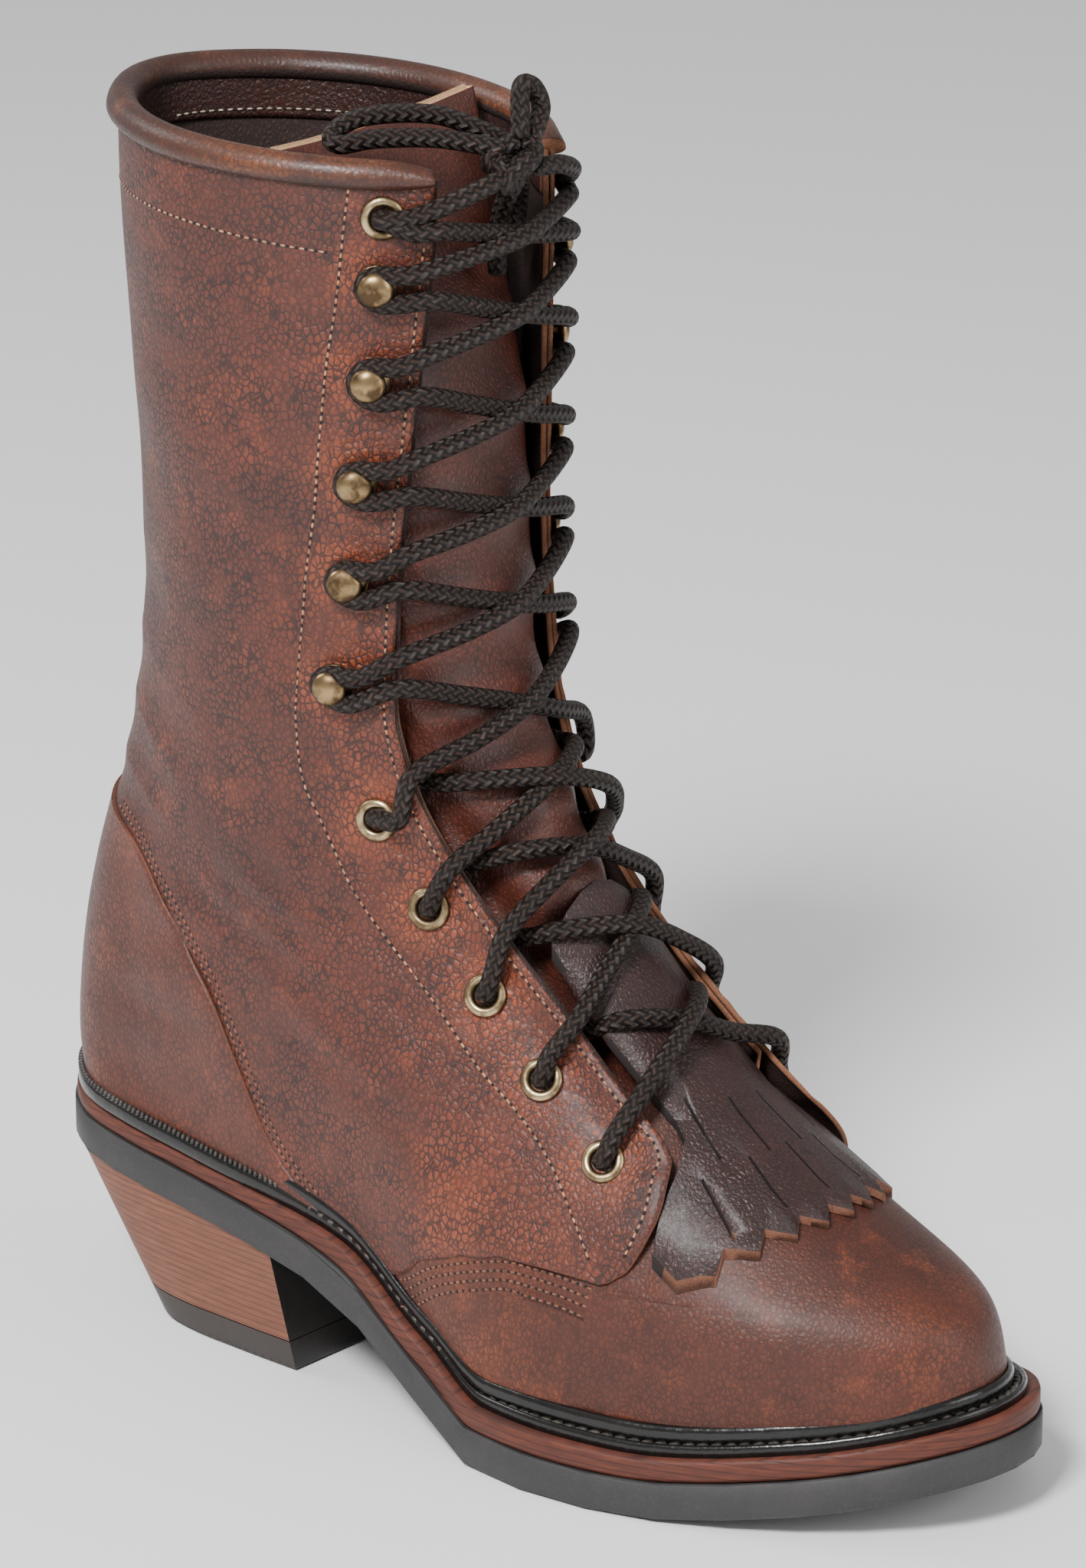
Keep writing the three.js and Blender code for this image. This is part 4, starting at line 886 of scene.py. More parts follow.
def vamp():
    """Vamp under both quarters and over the toe."""
    level = np.linspace(0, 4.75, 90)[:, None]
    line = front_line(PANEL_ROWS)
    start = np.interp(level, line[:, 0], line[:, 1]) - 7
    t = np.linspace(0, 1, 200)[None]
    turns = start + (360 - 2 * start) * t
    level = np.broadcast_to(level, turns.shape)
    place = skin(level, turns)
    bend = np.zeros(place.shape[:-1])
    for x, y0, y1, deep in VAMP_FOLDS:
        share = np.clip((place[..., 1] - y0) / (y1 - y0), 0, 1)
        bend += deep * np.exp(-((place[..., 0] - x) / 3.5) ** 2) * np.sin(share * math.pi)
    out = VAMP_FACE - bend + .3 * soft_noise(place, .05, 9)
    return panel("vamp", level, turns, out, -2.0, [vamp_leather, lining, tan_edge],
                 lambda p: .55 * np.exp(-((p[:, 0] - 100) / 20) ** 2)
                 + .3 * np.exp(-((p[:, 0] - 212) / 12) ** 2))


def counter():
    """Heel counter with its dents, over the quarters."""
    edge = curve_of(COUNTER_EDGE[::-1])
    level = np.r_[np.linspace(0, 4.9, 110), np.linspace(4.92, 5.19, 26)][:, None]
    t = np.linspace(-1, 1, 170)[None]
    turns = edge(level) * t
    level = np.broadcast_to(level, turns.shape)
    place = skin(level, turns)
    rim = np.clip((1 - np.abs(t)) * 30, 0, 1)
    x, z = place[..., 0], place[..., 2]
    dent = np.exp(-((z - 112 - .3 * x) / 7) ** 2) * np.exp(-(x / 26) ** 2)
    dent += .8 * np.exp(-((z - 88) / 5) ** 2) * np.exp(-((x + 12) / 22) ** 2)
    out = COUNTER_FACE - .5 * (1 - rim) - dent + .35 * soft_noise(place, .05, 5)
    return panel("counter", level, turns, out, .2, [counter_leather, lining, dark_edge],
                 lambda p: .35 * np.exp(-((p[:, 2] - 132) / 8) ** 2))


def backstay():
    """Strip over the seam up the back."""
    level = np.linspace(4.8, 11.95, 160)[:, None]
    half = np.degrees(8.5 / np.abs(skin(level, 25)[..., 1] / math.sin(math.radians(25))))
    t = np.linspace(-1, 1, 18)[None]
    turns = half * t * .96
    level = np.broadcast_to(level, turns.shape)
    out = 1.5 - .5 * (np.abs(t) > .93) - .6 * crease_depth(skin(level, turns), False)
    return panel("backstay", level, turns, out, .3, [quarter_leather, lining, dark_edge])


def inside_lining():
    """Shaft and foot lining, open at the throat."""
    level = np.linspace(0, 11.96, 90)[:, None]
    end = np.where(level > 4.4, np.interp(level, throat_rows, edge_angle(throat_rows)) + 1.1, 179.5)
    turns = end * np.linspace(-1, 1, 150)[None]
    level = np.broadcast_to(level, turns.shape)
    lift = flare(level, turns) * (level > 4.45)
    return panel("shaft_lining", level, turns, -1.35 + lift, INSIDE - .6 + lift,
                 [lining, lining, tan_edge])


def collar():
    """Leather rolled over the top edge, thinner at both front ends."""
    end = THROAT_EDGE[0][1] - .5
    turns = np.linspace(-end, end, 260)
    base = skin(TOP, turns)
    n = normal(TOP, turns)
    up = unit(base - skin(TOP - .4, turns))
    middle = (QUARTER_FACE + INSIDE) / 2
    a = np.linspace(0, 2 * math.pi, 28, endpoint=False)
    swell = 1 + .05 * soft_noise(base, .07, 4)
    thin = 1 - .5 * np.clip((np.abs(turns) - (end - 16)) / 16, 0, 1) ** 2
    fat = (1 + .14 * np.exp(-((turns + 40) / 40) ** 2))[:, None]
    sideways = 3.9 * np.cos(a)[None] * swell[:, None] * fat
    height = np.where(np.sin(a) > 0, 4.3, 3.4)[None] * np.sin(a)[None] * thin[:, None]
    lift = flare(TOP, turns)[:, None]
    grid = base[:, None] + n[:, None] * (middle + lift + sideways)[..., None]
    grid += up[:, None] * height[..., None]
    rows, cols = grid.shape[:2]
    faces = ring_faces(rows, cols)
    indices = [int(math.cos(v - .7) < -.75) for v in a] * (rows - 1)
    faces += [tuple(range(cols))[::-1], tuple((rows - 1) * cols + j for j in range(cols))]
    indices += [2, 2]
    o = outwards(new_mesh("rolled_collar", grid.reshape(-1, 3), faces,
                          [collar_leather, lining, tan_edge], indices))
    worn_paint(o, lambda p: .6 * np.exp(-((p[:, 0] - 45) / 30) ** 2) * (p[:, 2] > 318))
    return finish_piece(o, "collar_leather", "collar_roll")


def inner_band():
    """Collar leather turned down inside the top of the shaft."""
    turns = np.linspace(-147, 147, 200)[None] + np.zeros((16, 1))
    level = np.linspace(11.35, 11.98, 16)[:, None] + 0 * turns
    lift = flare(level, turns)
    return panel("turned_collar_band", level, turns, INSIDE - .5 + lift, INSIDE - 1.3 + lift,
                 [dark_leather, dark_leather, dark_edge], lambda p: np.full(len(p), .2),
                 "collar_leather", ())


# Tongue: how far it leans to the front, sinks and reaches sideways, by level
tongue_lean = curve_through([9, 10, 11, 12, 12.2], [0, .1, .42, .96, 1])
tongue_sink = curve_through([3.7, 4.1, 4.5, 5.2, 6, 6.8], [0, .5, 5.6, 5.6, 2, 0])
tongue_wide = curve_through([3.7, 5, 8, 10, 12.2], [1.35, 1.45, 1.5, 1.5, 1.75])


def tongue():
    """Tongue with puffs between the laces and a top that leans over the opening."""
    rows, cols = 150, 80
    level = np.broadcast_to(np.linspace(3.75, 12.2, rows)[:, None], (rows, cols))
    s = np.broadcast_to(np.linspace(-1, 1, cols)[None], (rows, cols))
    sides = np.clip(np.abs(s) * 1.5, 0, 1) ** 6

    def surface(under):
        start = np.interp(level, [7, 8.5], [.5, .74])
        beside = np.clip((np.abs(s * tongue_wide(level)) - start) / .45, 0, 1)
        depth = np.interp(level, [7, 8.5, 10.7, 11.6], [5.6, 2.4, 2, 0])
        lift = -1.6 - under - tongue_sink(level) - depth * beside ** 2 * (3 - 2 * beside)
        p = bridge(np.minimum(level, TOP), s * tongue_wide(level), lift)
        lean = tongue_lean(level)[..., None]
        p[..., 0] = lerp(p[..., 0], 33 - (2 if under else 0), lean[..., 0])
        p[..., 1] *= 1 + .09 * lean[..., 0]
        p[-1, :, 2] -= 0 if under else 1.3
        p[..., 2] += .05 * p[..., 1] * lean[..., 0] + 5 * np.clip((level - 11.5) / .7, 0, 1)
        return p
    outer, inner = surface(0), surface(2)
    puff = np.zeros((rows, cols))
    for row in HOOKS + [TOP_EYELET]:
        puff += 3.0 * np.exp(-((level - (row[2] - .38)) / .2) ** 2)
    for k, row in enumerate(EYELETS[1:]):
        middle = .06 * (-1) ** k
        puff += 5.2 * np.exp(-((level - (row[2] - .1)) / .27) ** 2 - ((s + middle) / .42) ** 2)
    puff = (puff - 1.4) * (1 - sides) * (level < 11.2) * (level > 4.6)
    puff += .5 * soft_noise(outer, .1, 11) * (1 - sides)
    out = unit(outer - inner)
    outer = outer + out * np.minimum(puff, 3.1)[..., None]
    o = shell("tongue_panel", outer, inner, [tongue_leather, lining, light_edge])
    worn_paint(o, lambda p: .25 * np.exp(-((p[:, 2] - 200) / 60) ** 2))
    return finish_piece(o, "tongue_leather", "tongue")


sheets = [quarter(False), quarter(True), vamp(), counter(), backstay()]
inside_lining()
collar()
inner_band()
tongue()


# Rows of stitches
sheet_trees = [BVHTree.FromPolygons([v.co for v in o.data.vertices],
                                    [f.vertices for f in o.data.polygons]) for o in sheets]
# How far a stitch's middle lies below the leather's face, in millimetres
SUNK = .06


def seat(centre, out):
    """Moves stitches along their normals onto the outermost leather sheet, a touch sunk in."""
    for k, (c, n) in enumerate(zip(centre, out)):
        start = Vector((c + n * 3) * .001)
        hits = [tree.ray_cast(start, Vector(-n), .0045)[0] for tree in sheet_trees]
        hits = [h for h in hits if h is not None]
        if hits:
            centre[k] = np.array(min(hits, key=lambda h: (h - start).length)) * 1000 - n * SUNK
    return centre


def stitch_row(level_angle, inner, face, shift=0.0, pitch=2.3):
    """Centres, directions and normals of a row that runs shift millimetres beside a line."""
    line = smooth(level_angle, 400)
    turn = mirrored(line[:, 1], inner)
    place = skin(line[:, 0], turn)
    out = normal(line[:, 0], turn)
    along = unit(np.gradient(place, axis=0))
    place = place + np.cross(out, along) * shift * (-1 if inner else 1)
    if face == QUARTER_FACE:
        moved = mirrored(line[:, 1] + min(shift, 0), inner)
        place = place + out * flare(line[:, 0], moved)[:, None]
    step = travelled(place)
    at = middles(step, pitch, 2)
    centre, out, along = (read_along(at, step, v) for v in (place, out, along))
    out = unit(out)
    depth = crease_depth(centre, inner) if face == QUARTER_FACE else np.zeros(len(centre))
    return centre + out * (face - SUNK - depth)[:, None], unit(along), out


def sew(name, rows, size, slot_name, material):
    """Stitches of some rows, and after each of them a dark bead on the leather: painted shade of its needle
    hole.
    """
    centres, along, out = (np.concatenate([r[k] for r in rows]) for k in range(3))
    if slot_name == "upper_leather":
        centres = seat(centres, out)
    finish_piece(beads(name, centres, along, out, size, [material]), slot_name)
    # A flat dark bead just past each stitch: painted shade of its needle hole.
    hole_shade_beads = beads(name + "_hole_shade", centres + along * (size[0] * .72) + out * .02, along, out,
                  (size[1] * 1.5, size[1] * 1.5, .36), [painted_hole_shade], 6, 3)
    finish_piece(hole_shade_beads, slot_name)


# Level and angle along each row
EYESTAY = [(11.82, 128), (11.23, 126), (10.73, 124), (10.28, 121), (9.47, 117), (8.97, 113),
           (8.58, 110), (8.05, 106), (7.78, 104), (7.23, 102), (6.82, 104), (6.23, 106), (5.65, 110),
           (5.17, 114), (4.52, 117), (4.2, 120), (3.78, 121), (3.12, 119), (2.57, 118)]
THROAT_ROW = THROAT_EDGE[1:] + [(4.05, 146), (3.72, 140), (3.1, 130.5), (2.7, 125)]
SEAM_ROW = [(2.3, 117), (2.33, 112), (2.27, 105), (1.99, 98.5), (1.42, 91.5), (.75, 87)]
COUNTER_ROW = COUNTER_EDGE[1:-1] + [(.2, 74)]
BACKSTAY_ROW = [(5.3, 3.5), (7, 7.8), (9, 7.9), (11.8, 7.2)]
TOP_ROW = [(11.83, 129.5), (11.83, 138), (11.8, 146)]
BAND_ROW = [(11.12, 10), (11.14, 40), (11.16, 80), (11.12, 110), (11.1, 122)]
LINING_ROW = [(11.42, 4), (11.44, 60), (11.42, 110), (11.4, 125)]
rows, seam_rows, inside_rows = [], [], []
for inner in (False, True):
    rows.append(stitch_row(EYESTAY, inner, QUARTER_FACE))
    rows.append(stitch_row(THROAT_ROW, inner, QUARTER_FACE, -2.3))
    for k in range(4):
        seam_rows.append(stitch_row(SEAM_ROW, inner, QUARTER_FACE, 2 + 2.3 * k, 2.2))
    for k in range(2):
        seam_rows.append(stitch_row(COUNTER_ROW, inner, COUNTER_FACE - .1, 1.8 + 2.1 * k, 2.1))
    rows.append(stitch_row(BACKSTAY_ROW, inner, 1.45, 0, 2.4))
    rows.append(stitch_row(TOP_ROW, inner, QUARTER_FACE))
    rows.append(stitch_row(BAND_ROW, inner, QUARTER_FACE, 0, 2.4))
    centre, along, out = stitch_row(LINING_ROW, inner, INSIDE - 1.32, 0, 2.6)
    inside_rows.append((centre, along, -out))
sew("upper_stitches", rows, (1.5, .72, .66), "upper_leather", cream_thread)
sew("seam_stitches", seam_rows, (1.45, .66, .6), "upper_leather", brown_thread)
sew("lining_stitches", inside_rows, (1.6, .6, .55), "collar_leather", pale_thread)


# Sole
RIM_HEIGHT = 1.7


def rim_share(x):
    """0 round the heel, 1 where the brown rim stands up outside the welt."""
    t = np.clip((x - 5) / 60, 0, 1)
    return t * t * (3 - 2 * t)


def on_sole(points, height):
    """Points of the plan set some millimetres above the sole's underside."""
    return np.column_stack([points, underside(points[:, 0]) + height])


def outward_line(inset, n):
    """Angles, points and outward directions of the sole's outline, set in by some millimetres."""
    turns = np.linspace(0, 360, n, endpoint=False)
    c = np.stack(outline(turns, inset), -1)
    d = unit(np.roll(c, -1, 0) - np.roll(c, 1, 0))
    out = np.stack([d[:, 1], -d[:, 0]], -1)
    if out[n // 4] @ (c[n // 4] - c.mean(0)) < 0:
        out = -out
    return turns, c, out


def midsole_layer():
    """Leather layer with soft edges, and the rim that stands up outside the welt."""
    n = 320
    low, high = OUTSOLE_THICK + GAP, MIDSOLE_TOP
    line, out = outward_line(.6, n)[1:]
    rows = []
    for inwards, height in ((3.6, low), (.3, low), (0, low + 1), (0, high - 1), (.3, high),
                            (3.6, high - .1)):
        c = line - out * inwards
        rise = RIM_HEIGHT * rim_share(c[:, 0]) * (height > (low + high) / 2)
        rows.append(on_sole(c, height + rise))
    last = len(rows) - 1
    faces = ring_faces(len(rows), n) + cap_faces(0, n, n // 2)
    faces += [f[::-1] for f in cap_faces(last, n, n // 2)]
    o = outwards(new_mesh("midsole_layer", np.concatenate(rows), faces, [sole_edge]))
    return finish_piece(o, "midsole_leather", "midsole")


midsole_layer()
for node, material in (("insole", lining), ("outsole", outsole_rubber)):
    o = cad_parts[node]
    o.data.materials.clear()
    o.data.materials.append(material)


# Welt's section: share of the welt's width, distance inwards and height
WELT_PROFILE = [(0, 3, 0), (0, .4, 0), (0, 0, .5), (0, 0, 3.1), (0, .3, 3.8), (0, .8, 4.2), (0, 1.3, 3.9),
                (.2, 1, 2.2), (.62, .2, 2.2), (.76, -.4, 3.4), (.97, -1.4, 6.4), (1, -1.1, 7.6),
                (1, -.3, 8), (1, .7, 7.2), (1, 2.1, 3), (1, 4, 0)]


def welt_piece():
    """Storm welt, its stitches and the teeth of the heel rand."""
    n = 360
    turns, c, out = outward_line(WELT_INSET, n)
    lip = 2.9 * rim_share(c[:, 0])
    wide = welt_wide(np.where(turns <= 180, turns, 360 - turns)) - WELT_INSET - lip
    rows = []
    for share, inwards, height in WELT_PROFILE:
        p = c - out * (lip + share * wide + inwards)[:, None]
        rows.append(on_sole(p, WELT_FOOT + height))
    o = outwards(new_mesh("storm_welt", np.concatenate(rows), ring_faces(len(rows), n, True),
                          [welt_black]))
    finish_piece(o, "welt_rubber", "welt")

    def along_rim(inwards, height, pitch, keep):
        line = on_sole(c - out * inwards[:, None], WELT_FOOT + height)
        first = int(np.argmax(keep(line[:, 0]) & (turns < 180))) if not keep(line[0, 0]) else 0
        order = np.arange(first, n - first) if first else np.roll(np.arange(n), n // 2)
        line = line[order][keep(line[order][:, 0])]
        step = travelled(line)
        centre = read_along(middles(step, pitch), step, line)
        return centre, unit(np.gradient(centre, axis=0)), np.tile([0, 0, 1.], (len(centre), 1))
    centre, along, up = along_rim(lip + .42 * wide + .5, 3.1, 3.6, lambda x: x > 8)
    twist = unit(along + .35 * np.cross(up, along))
    stitches = beads("welt_stitches", centre, twist, up, (3.7, 2.3, 2.1), [welt_thread], 8, 6)
    finish_piece(stitches, "welt_rubber")
    teeth = beads("heel_rand_teeth", *along_rim(lip + .9, 4.5, 1.7, lambda x: x < 34), (1.15, 2.1, 2.0),
                  [rand_grey], 6, 4)
    finish_piece(teeth, "welt_rubber")


welt_piece()


def outsole_rim():
    """Smooth outer face of the outsole, all round."""
    n = 400
    c, out = outward_line(-.03, n)[1:]
    top = OUTSOLE_THICK - .1
    rows = [on_sole(c - out * inwards, height) for inwards, height in
            ((3, .25), (.5, .15), (0, .8), (0, top - .4), (.4, top), (3, top))]
    o = outwards(new_mesh("outsole_rim", np.concatenate(rows), ring_faces(len(rows), n, True),
                          [outsole_rubber]))
    return finish_piece(o, "outsole_rubber")


outsole_rim()


def heel_piece(name, rows, material, node, slot_name):
    """Part of the heel; rows give heights and how far each is drawn in, up to the sole at most."""
    steps = 72
    angle = np.linspace(0, angle_of(BREAST_AT), steps)
    sides = [(*outline(angle, HEEL_INSET), -1), (*outline((360 - angle) % 360, HEEL_INSET), 1)]
    x0, y0, y1 = sides[0][0], sides[0][1], sides[1][1]
    along = (x0 - SOLE_BACK - HEEL_INSET) / (SOLE_LENGTH * BREAST_AT - HEEL_INSET)
    rest_x = HEEL_REST_LENGTH * (along - .5)
    rest_half = HEEL_REST_WIDTH / 2 * (y1 - y0) / (y1 - y0)[-1]

    def ring(height):
        lines = []
        for x, y, side in sides:
            top = np.column_stack([x, y, underside(x) - GAP])
            rest = np.column_stack([rest_x, side * rest_half, 0 * x])
            lines.append(rest + (top - rest) * np.clip(height / top[:, 2], 0, 1)[:, None])
        return np.vstack([lines[0], lines[1][::-1][:-1]])
    rings = []
    for height, pull in rows:
        r = ring(height)
        rings.append(r - unit(r - r.mean(0)) * [pull, pull, 0])
    count, cols = len(rings), len(rings[0])
    faces = ring_faces(count, cols) + cap_faces(0, cols, steps - 1) + cap_faces(count - 1, cols, steps - 1)
    o = outwards(new_mesh(name, np.concatenate(rings), faces, [material, breast_black]))
    for polygon in o.data.polygons:
        if polygon.normal.x > .6:
            polygon.material_index = 1
    only(o)
    bpy.ops.object.shade_smooth_by_angle(angle=.6)
    return finish_piece(o, slot_name, node)


heel_piece("stacked_heel_block", [(LIFT_THICK + GAP + k, 0) for k in (0, 10, 20, math.inf)],
           heel_stack, "heel_block", "heel_stack")
heel_piece("heel_top_lift", [(0, .5), (.5, 0), (LIFT_THICK, 0)], lift_tread(), "top_lift", "lift_rubber")


def underside_details():
    """Stitch line round the forefoot's underside and the nails of the lift."""
    c = outward_line(7.5, 400)[1]
    line = c[c[:, 0] > 34]
    first = int(np.argmax(np.linalg.norm(np.diff(line, axis=0), axis=1))) + 1
    if np.linalg.norm(line[0] - line[-1]) < 20:
        line = np.roll(line, -first, axis=0)
    line = evenly(line, int(travelled(line)[-1] / 5))
    centre = on_sole(line, .26)
    along = unit(np.gradient(centre, axis=0))
    down = np.tile([0, 0, -1.], (len(centre), 1))
    stitches = beads("underside_stitches", centre, along, down, (3.4, 1.3, .5), [welt_thread], 6, 5)
    finish_piece(stitches, "outsole_rubber")
    turn = np.radians([100, 140, 180, 220, 260])
    nails = np.column_stack([4 + 27 * np.cos(turn), 22 * np.sin(turn), 0 * turn + .24])
    o = beads("lift_nails", nails, np.tile([1., 0, 0], (5, 1)), np.tile([0, 0, -1.], (5, 1)),
              (2.6, 2.6, .45), [stud_metal], 12, 6)
    finish_piece(o, "lift_rubber")


underside_details()


# Fastenings
def turned(name, profile, material, steps=28):
    """A ring or stud made by spinning a profile of radius and height about its axis."""
    radius, height = (np.array(v, float)[:, None] for v in zip(*profile))
    turn = 2 * math.pi * np.arange(steps) / steps
    points = np.stack([radius * np.cos(turn), radius * np.sin(turn), height + 0 * turn], -1)
    return outwards(new_mesh(name, points.reshape(-1, 3), ring_faces(len(profile), steps), [material]))


def set_on_boot(template, name, row, inner, node):
    """Copy of a ring or stud, stood on the leather at a row of the tables."""
    mesh = template.data.copy()
    level, angle = row[0], mirrored(row[1], inner)
    place = (skin(level, angle) + normal(level, angle) * QUARTER_FACE) * .001
    turn = Vector((0, 0, 1)).rotation_difference(Vector(normal(level, angle).tolist()))
    mesh.transform(turn.to_matrix().to_4x4())
    mesh.transform(Matrix.Translation(Vector(place.tolist())))
    return finish_piece(linked(name, mesh), "antique_brass", node)


EYELET_PROFILE = [(2.9, -2.6), (3.35, -2.6), (3.35, .3), (5.35, .35), (5.5, .7), (5.2, 1.15), (4.6, 1.5),
                  (3.9, 1.55), (3.3, 1.3), (2.95, .7), (2.9, -2.6)]
HOOK_PROFILE = [(.02, .35), (5.1, .35), (5.25, .7), (5.0, 1.15), (4.0, 1.3), (2.1, 1.5), (2.0, 3.9),
                (2.6, 4.3), (4.2, 4.5), (4.5, 5.0), (4.3, 5.7), (3.5, 6.5),
                (2.3, 7.0), (.9, 7.25), (.02, 7.3)]
eyelet_shape = turned("eyelet_shape", EYELET_PROFILE, ring_metal)
hook_shape = turned("hook_shape", HOOK_PROFILE, stud_metal)
for inner, word in ((False, "outer"), (True, "inner")):
    for i, row in enumerate(EYELETS + [TOP_EYELET]):
        node = f"eyelet_{word}_{i + 1}"
        set_on_boot(eyelet_shape, f"ring_{node}", row, inner, node)
    for i, row in enumerate(HOOKS):
        node = f"hook_{word}_{i + 1}"
        set_on_boot(hook_shape, f"stud_{node}", row, inner, node)
for shape in (eyelet_shape, hook_shape):
    bpy.data.objects.remove(shape)

# Laces through the eyelets and round the hooks
OVER = QUARTER_FACE + LACE_RADIUS + .5
LOW = 4.9
PASS_OVER = 3.4


def at_hole(row, inner, out, toward=0.0, up=0.0):
    """Place over or in an eyelet or hook, moved towards the throat or up by some steps."""
    level, turn = row[0] + up, mirrored(row[1] + toward, inner)
    return skin_out(level, turn, out + float(flare(level, turn)))


def lace_run(start_inner, raised):
    """One half of the lace: from the bar under the false tongue to the top eyelet."""
    inner = start_inner
    bar = EYELETS[0][2]
    points = [across(bar, bar, 1, .5, -5.2), across(bar, bar, 1, .8 if inner else .2, -5.2),
              at_hole(EYELETS[0], inner, -4.6, 6)]
    for k in range(4):
        a, b = EYELETS[k], EYELETS[k + 1]
        flip = -1 if inner else 1
        lift = LOW + (PASS_OVER if raised else 0)
        points += [at_hole(a, inner, 0), at_hole(a, inner, 2.6, 1.2, .05),
                   at_hole(a, inner, OVER + 1, 6, .3)]
        edge = OVER + .3 + float(flare(a[2], mirrored(edge_angle(a[2]), inner)))
        points += [across(a[2], b[2], flip, t, v) for t, v in
                   ((.02, edge), (.24, lift), (.5, lift - .3), (.76, LOW - .8), (.9, -.6), (.99, -4.6))]
        inner = not inner
        points.append(at_hole(b, inner, -4.8, 7))
    stops = [EYELETS[4]] + HOOKS + [TOP_EYELET]
    points += [at_hole(stops[0], inner, 0), at_hole(stops[0], inner, 2.6, 1.2, .05)]
    for k in range(6):
        a, b = stops[k], stops[k + 1]
        flip = -1 if inner else 1
        extra = PASS_OVER if (raised == (k % 2 == 0)) else 0
        rise = float(flare_height(b[2]))
        points.append(at_hole(a, inner, OVER + 1.9, 8, .12))
        half = extra / 2 + .5
        points += [across(a[2] + .1, b[2] - .12, flip, t, OVER + v) for t, v in
                   ((.03, .4 + rise), (.27, half), (.5, extra), (.73, half), (.97, .4 + rise))]
        inner = not inner
        if k < 5:
            points += [at_hole(b, inner, OVER + .8, 5, -.1), at_hole(b, inner, OVER + .5, .4, -.1),
                       at_hole(b, inner, OVER + .2, -3.1, -.03), at_hole(b, inner, OVER + .4, -2.1, .06),
                       at_hole(b, inner, OVER + .7, 1.2, .1)]
        else:
            points += [at_hole(b, inner, OVER + .8, 8, -.1), at_hole(b, inner, 3.2, 2, -.03),
                       at_hole(b, inner, 0), at_hole(b, inner, -3)]
    return smooth(points, 900)


crossings = [f"lace_crossing_{i}" for i in range(1, 11)]
for start_inner, word in ((False, "first"), (True, "second")):
    o = tube(f"lace_{word}_half", lace_run(start_inner, not start_inner), LACE_RADIUS, [lace_braid])
    finish_piece(o, "lace_cord", "lace_bar", *crossings)

# The bow's routes run near those of the frame's cords
KNOT = np.array([80, 1, 320.0])
KNOT_RADIUS = 5
KNOT_CORD = 2.3
# node, way out of the knot, points on its route, way back into the knot, what its far end meets
BOW = [
    ("lace_loop_left", (-.55, -.75, .35),
     [(66, -14, 325), (55, -24, 325), (47.5, -29, 323.3), (43.4, -26.6, 325.3), (47.5, -19, 328.6),
      (61, -8, 329)], (-.85, -.1, .5), "knot"),
    ("lace_loop_up", (-.1, .75, .65), [(77.5, 11.2, 329.8), (76.5, 9.7, 335), (76.5, 5, 336)],
     (-.15, .1, .98), "knot"),
    ("lace_end_front", (-.25, -.1, -.96), [(73, 2, 306), (69, 5, 298), (66.6, 7.4, 288)], None, "bare"),
    ("lace_end_back", (-.6, .55, -.62), [(71, 11, 310), (66.8, 15, 302.5), (64.2, 17, 292.5)],
     None, "bare"),
    ("lace_feed_outer", (0, -.85, -.5), [(79.5, -12.5, 314.5), (76, -22, 311.5), (70.3, -28.8, 308.5)],
     None, "object"),
    ("lace_feed_inner", (.1, .85, -.5), [(81, 14, 316), (76.8, 23.8, 312.5), (70.3, 28.8, 308.5)],
     None, "object"),
]


def by_knot(direction, out):
    """Place on the knot's surface or some millimetres off it."""
    return KNOT + unit(np.array(direction, float)) * (KNOT_RADIUS + GAP + out)


for node, start, through, back, far_end in BOW:
    points = [by_knot(start, 0), by_knot(start, 1.5)] + [np.array(p, float) for p in through]
    if back:
        points += [by_knot(back, 1.5), by_knot(back, 0)]
    if far_end == "object":
        points += [at_hole(TOP_EYELET, node.endswith("inner"), d) for d in (3.4, 0, -3)]
    path = smooth(points, 60)
    o = tube(f"bow_{node}", path, LACE_RADIUS, [lace_braid])
    finish_piece(o, "lace_cord", node)


def knot():
    """Two wraps of the lace pulled tight, as one cord."""
    t = np.linspace(0, 2 * math.pi, 160, endpoint=False)
    x = 3.0 * np.sin(2 * t)
    y = 5.4 * np.sin(3 * t + .4)
    z = 5.2 * np.cos(2 * t) * np.cos(t) - 1.8
    o = tube("bow_knot", KNOT + [-1.6, -1.4, 0] + np.stack([x, y, z], -1), KNOT_CORD, [lace_braid])
    return finish_piece(o, "lace_cord", "lace_knot")


knot()


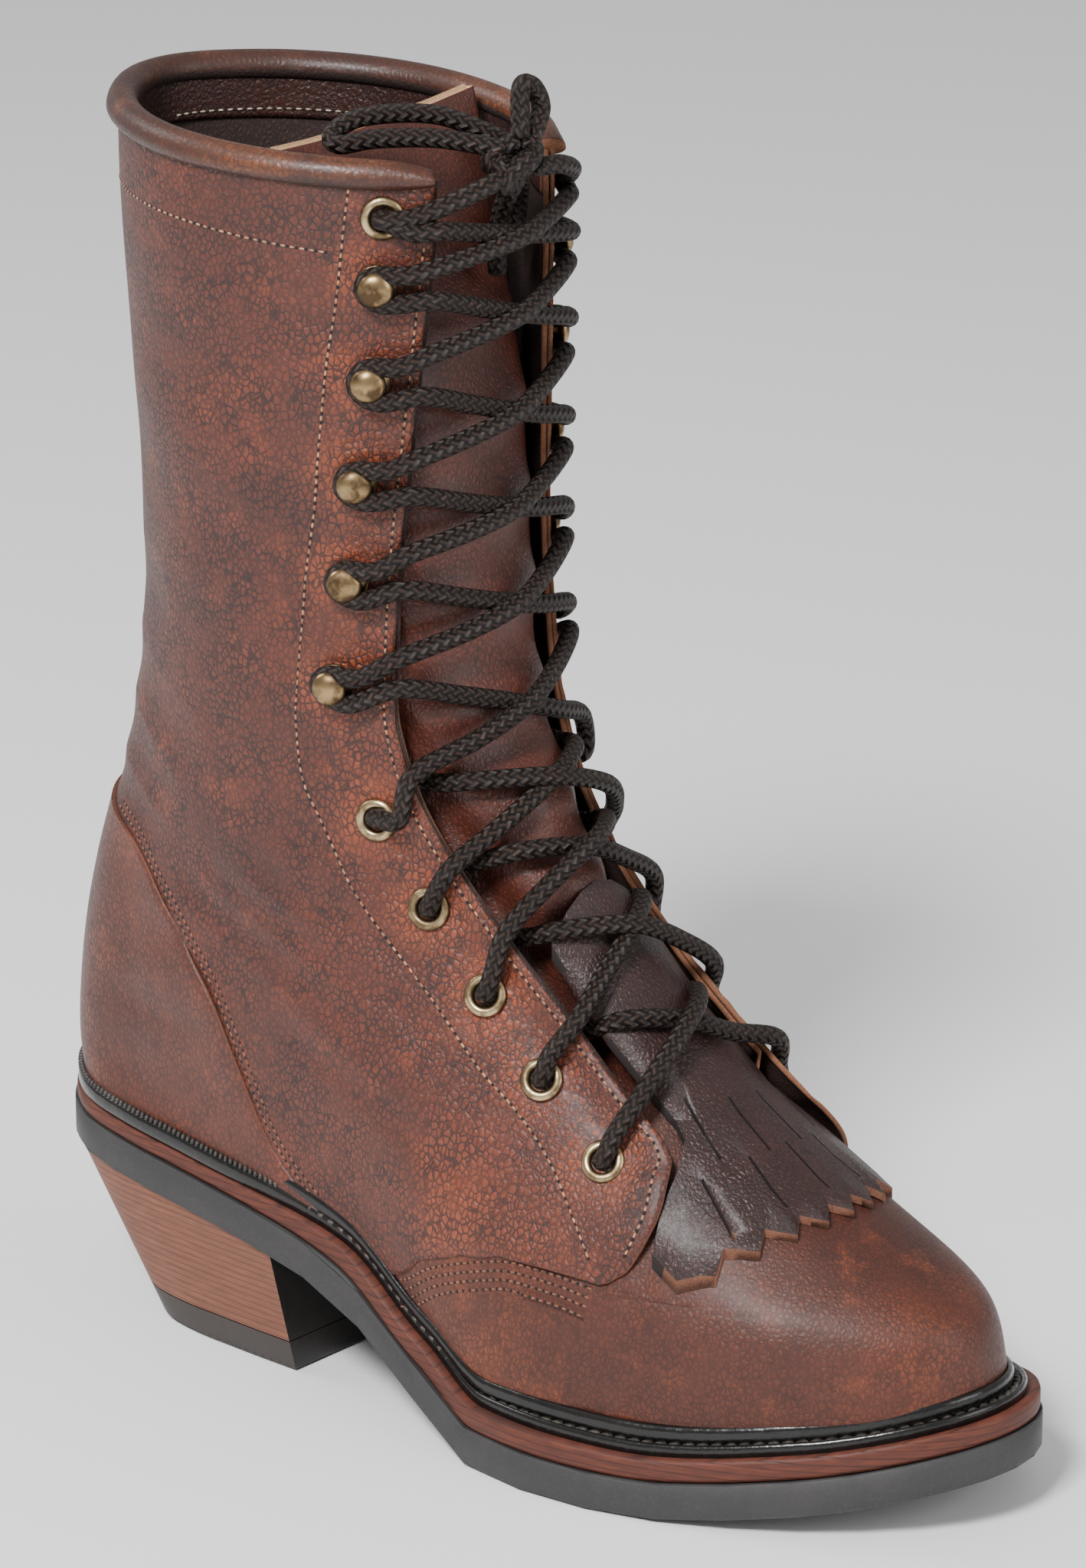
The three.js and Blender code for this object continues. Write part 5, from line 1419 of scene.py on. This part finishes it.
def kiltie_piece():
    """False tongue with its fringe: a copy of the frame's node, with a raw front edge and slits whose walls
    carry painted shade.
    """
    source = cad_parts["kiltie"]
    mesh = source.data.copy()
    mesh.materials.clear()
    for material in (dark_leather, dark_edge, painted_hole_shade):
        mesh.materials.append(material)
    o = linked("false_tongue", mesh)
    o.matrix_world = source.matrix_world
    outwards(o)
    # Small upright faces ahead of the front line are the raw cut edge; the rest, the slits' walls and side
    # edges, get the near-black finish as painted shade in the slits.
    for p in o.data.polygons:
        if abs(p.normal.z) < .3 and p.area < 2e-5:
            x, y = p.center.x * 1000, p.center.y * 1000 - 6
            p.material_index = 1 if x > 173 - 17 * (y / 38) ** 2 else 2
    only(o)
    bpy.ops.object.shade_smooth_by_angle(angle=.7)
    return finish_piece(o, "kiltie_leather", "kiltie")


kiltie_piece()


# Room, light and camera, in metres
FLOOR_DROP = .0005
WORLD_LIGHT = .52
bpy.ops.mesh.primitive_plane_add(size=12, location=(0, 0, -FLOOR_DROP))
floor = bpy.context.object
floor.name = "floor"
floor.data.materials.append(Finish("pale_floor", Roughness=.6, Base_Color=(.9, .9, .9, 1)).material)
world = bpy.context.scene.world or bpy.data.worlds.new("studio")
bpy.context.scene.world = world
world.use_nodes = True
world.node_tree.nodes["Background"].inputs[0].default_value = (1, 1, 1, 1)
world.node_tree.nodes["Background"].inputs[1].default_value = WORLD_LIGHT


def lamp(name, place, target, size, power):
    """Square lamp aimed at a point."""
    data = bpy.data.lights.new(name, "AREA")
    data.size, data.energy = size, power
    o = linked(name, data)
    o.location = place
    o.rotation_euler = (Vector(target) - Vector(place)).to_track_quat("-Z", "Y").to_euler()


lamp("key", (.5, -1.5, 1.7), (.05, 0, .15), .5, 74)
lamp("fill", (1.8, .3, .8), (.08, 0, .12), 1.0, 12)
lamp("rim", (-1.3, -.4, 1.2), (0, 0, .2), .6, 9)

camera = linked("camera", bpy.data.cameras.new("camera"))
AZIMUTH, ELEVATION, DISTANCE = math.radians(40.2), math.radians(18.2), 1.7559
target = Vector((.0809, .0079, .1584))
back = Vector((math.sin(AZIMUTH) * math.cos(ELEVATION), -math.cos(AZIMUTH) * math.cos(ELEVATION),
               math.sin(ELEVATION)))
camera.location = target + back * DISTANCE
camera.rotation_euler = (-back).to_track_quat("-Z", "Y").to_euler()
camera.data.sensor_width = 36
camera.data.lens = 161.2
bpy.context.scene.camera = camera
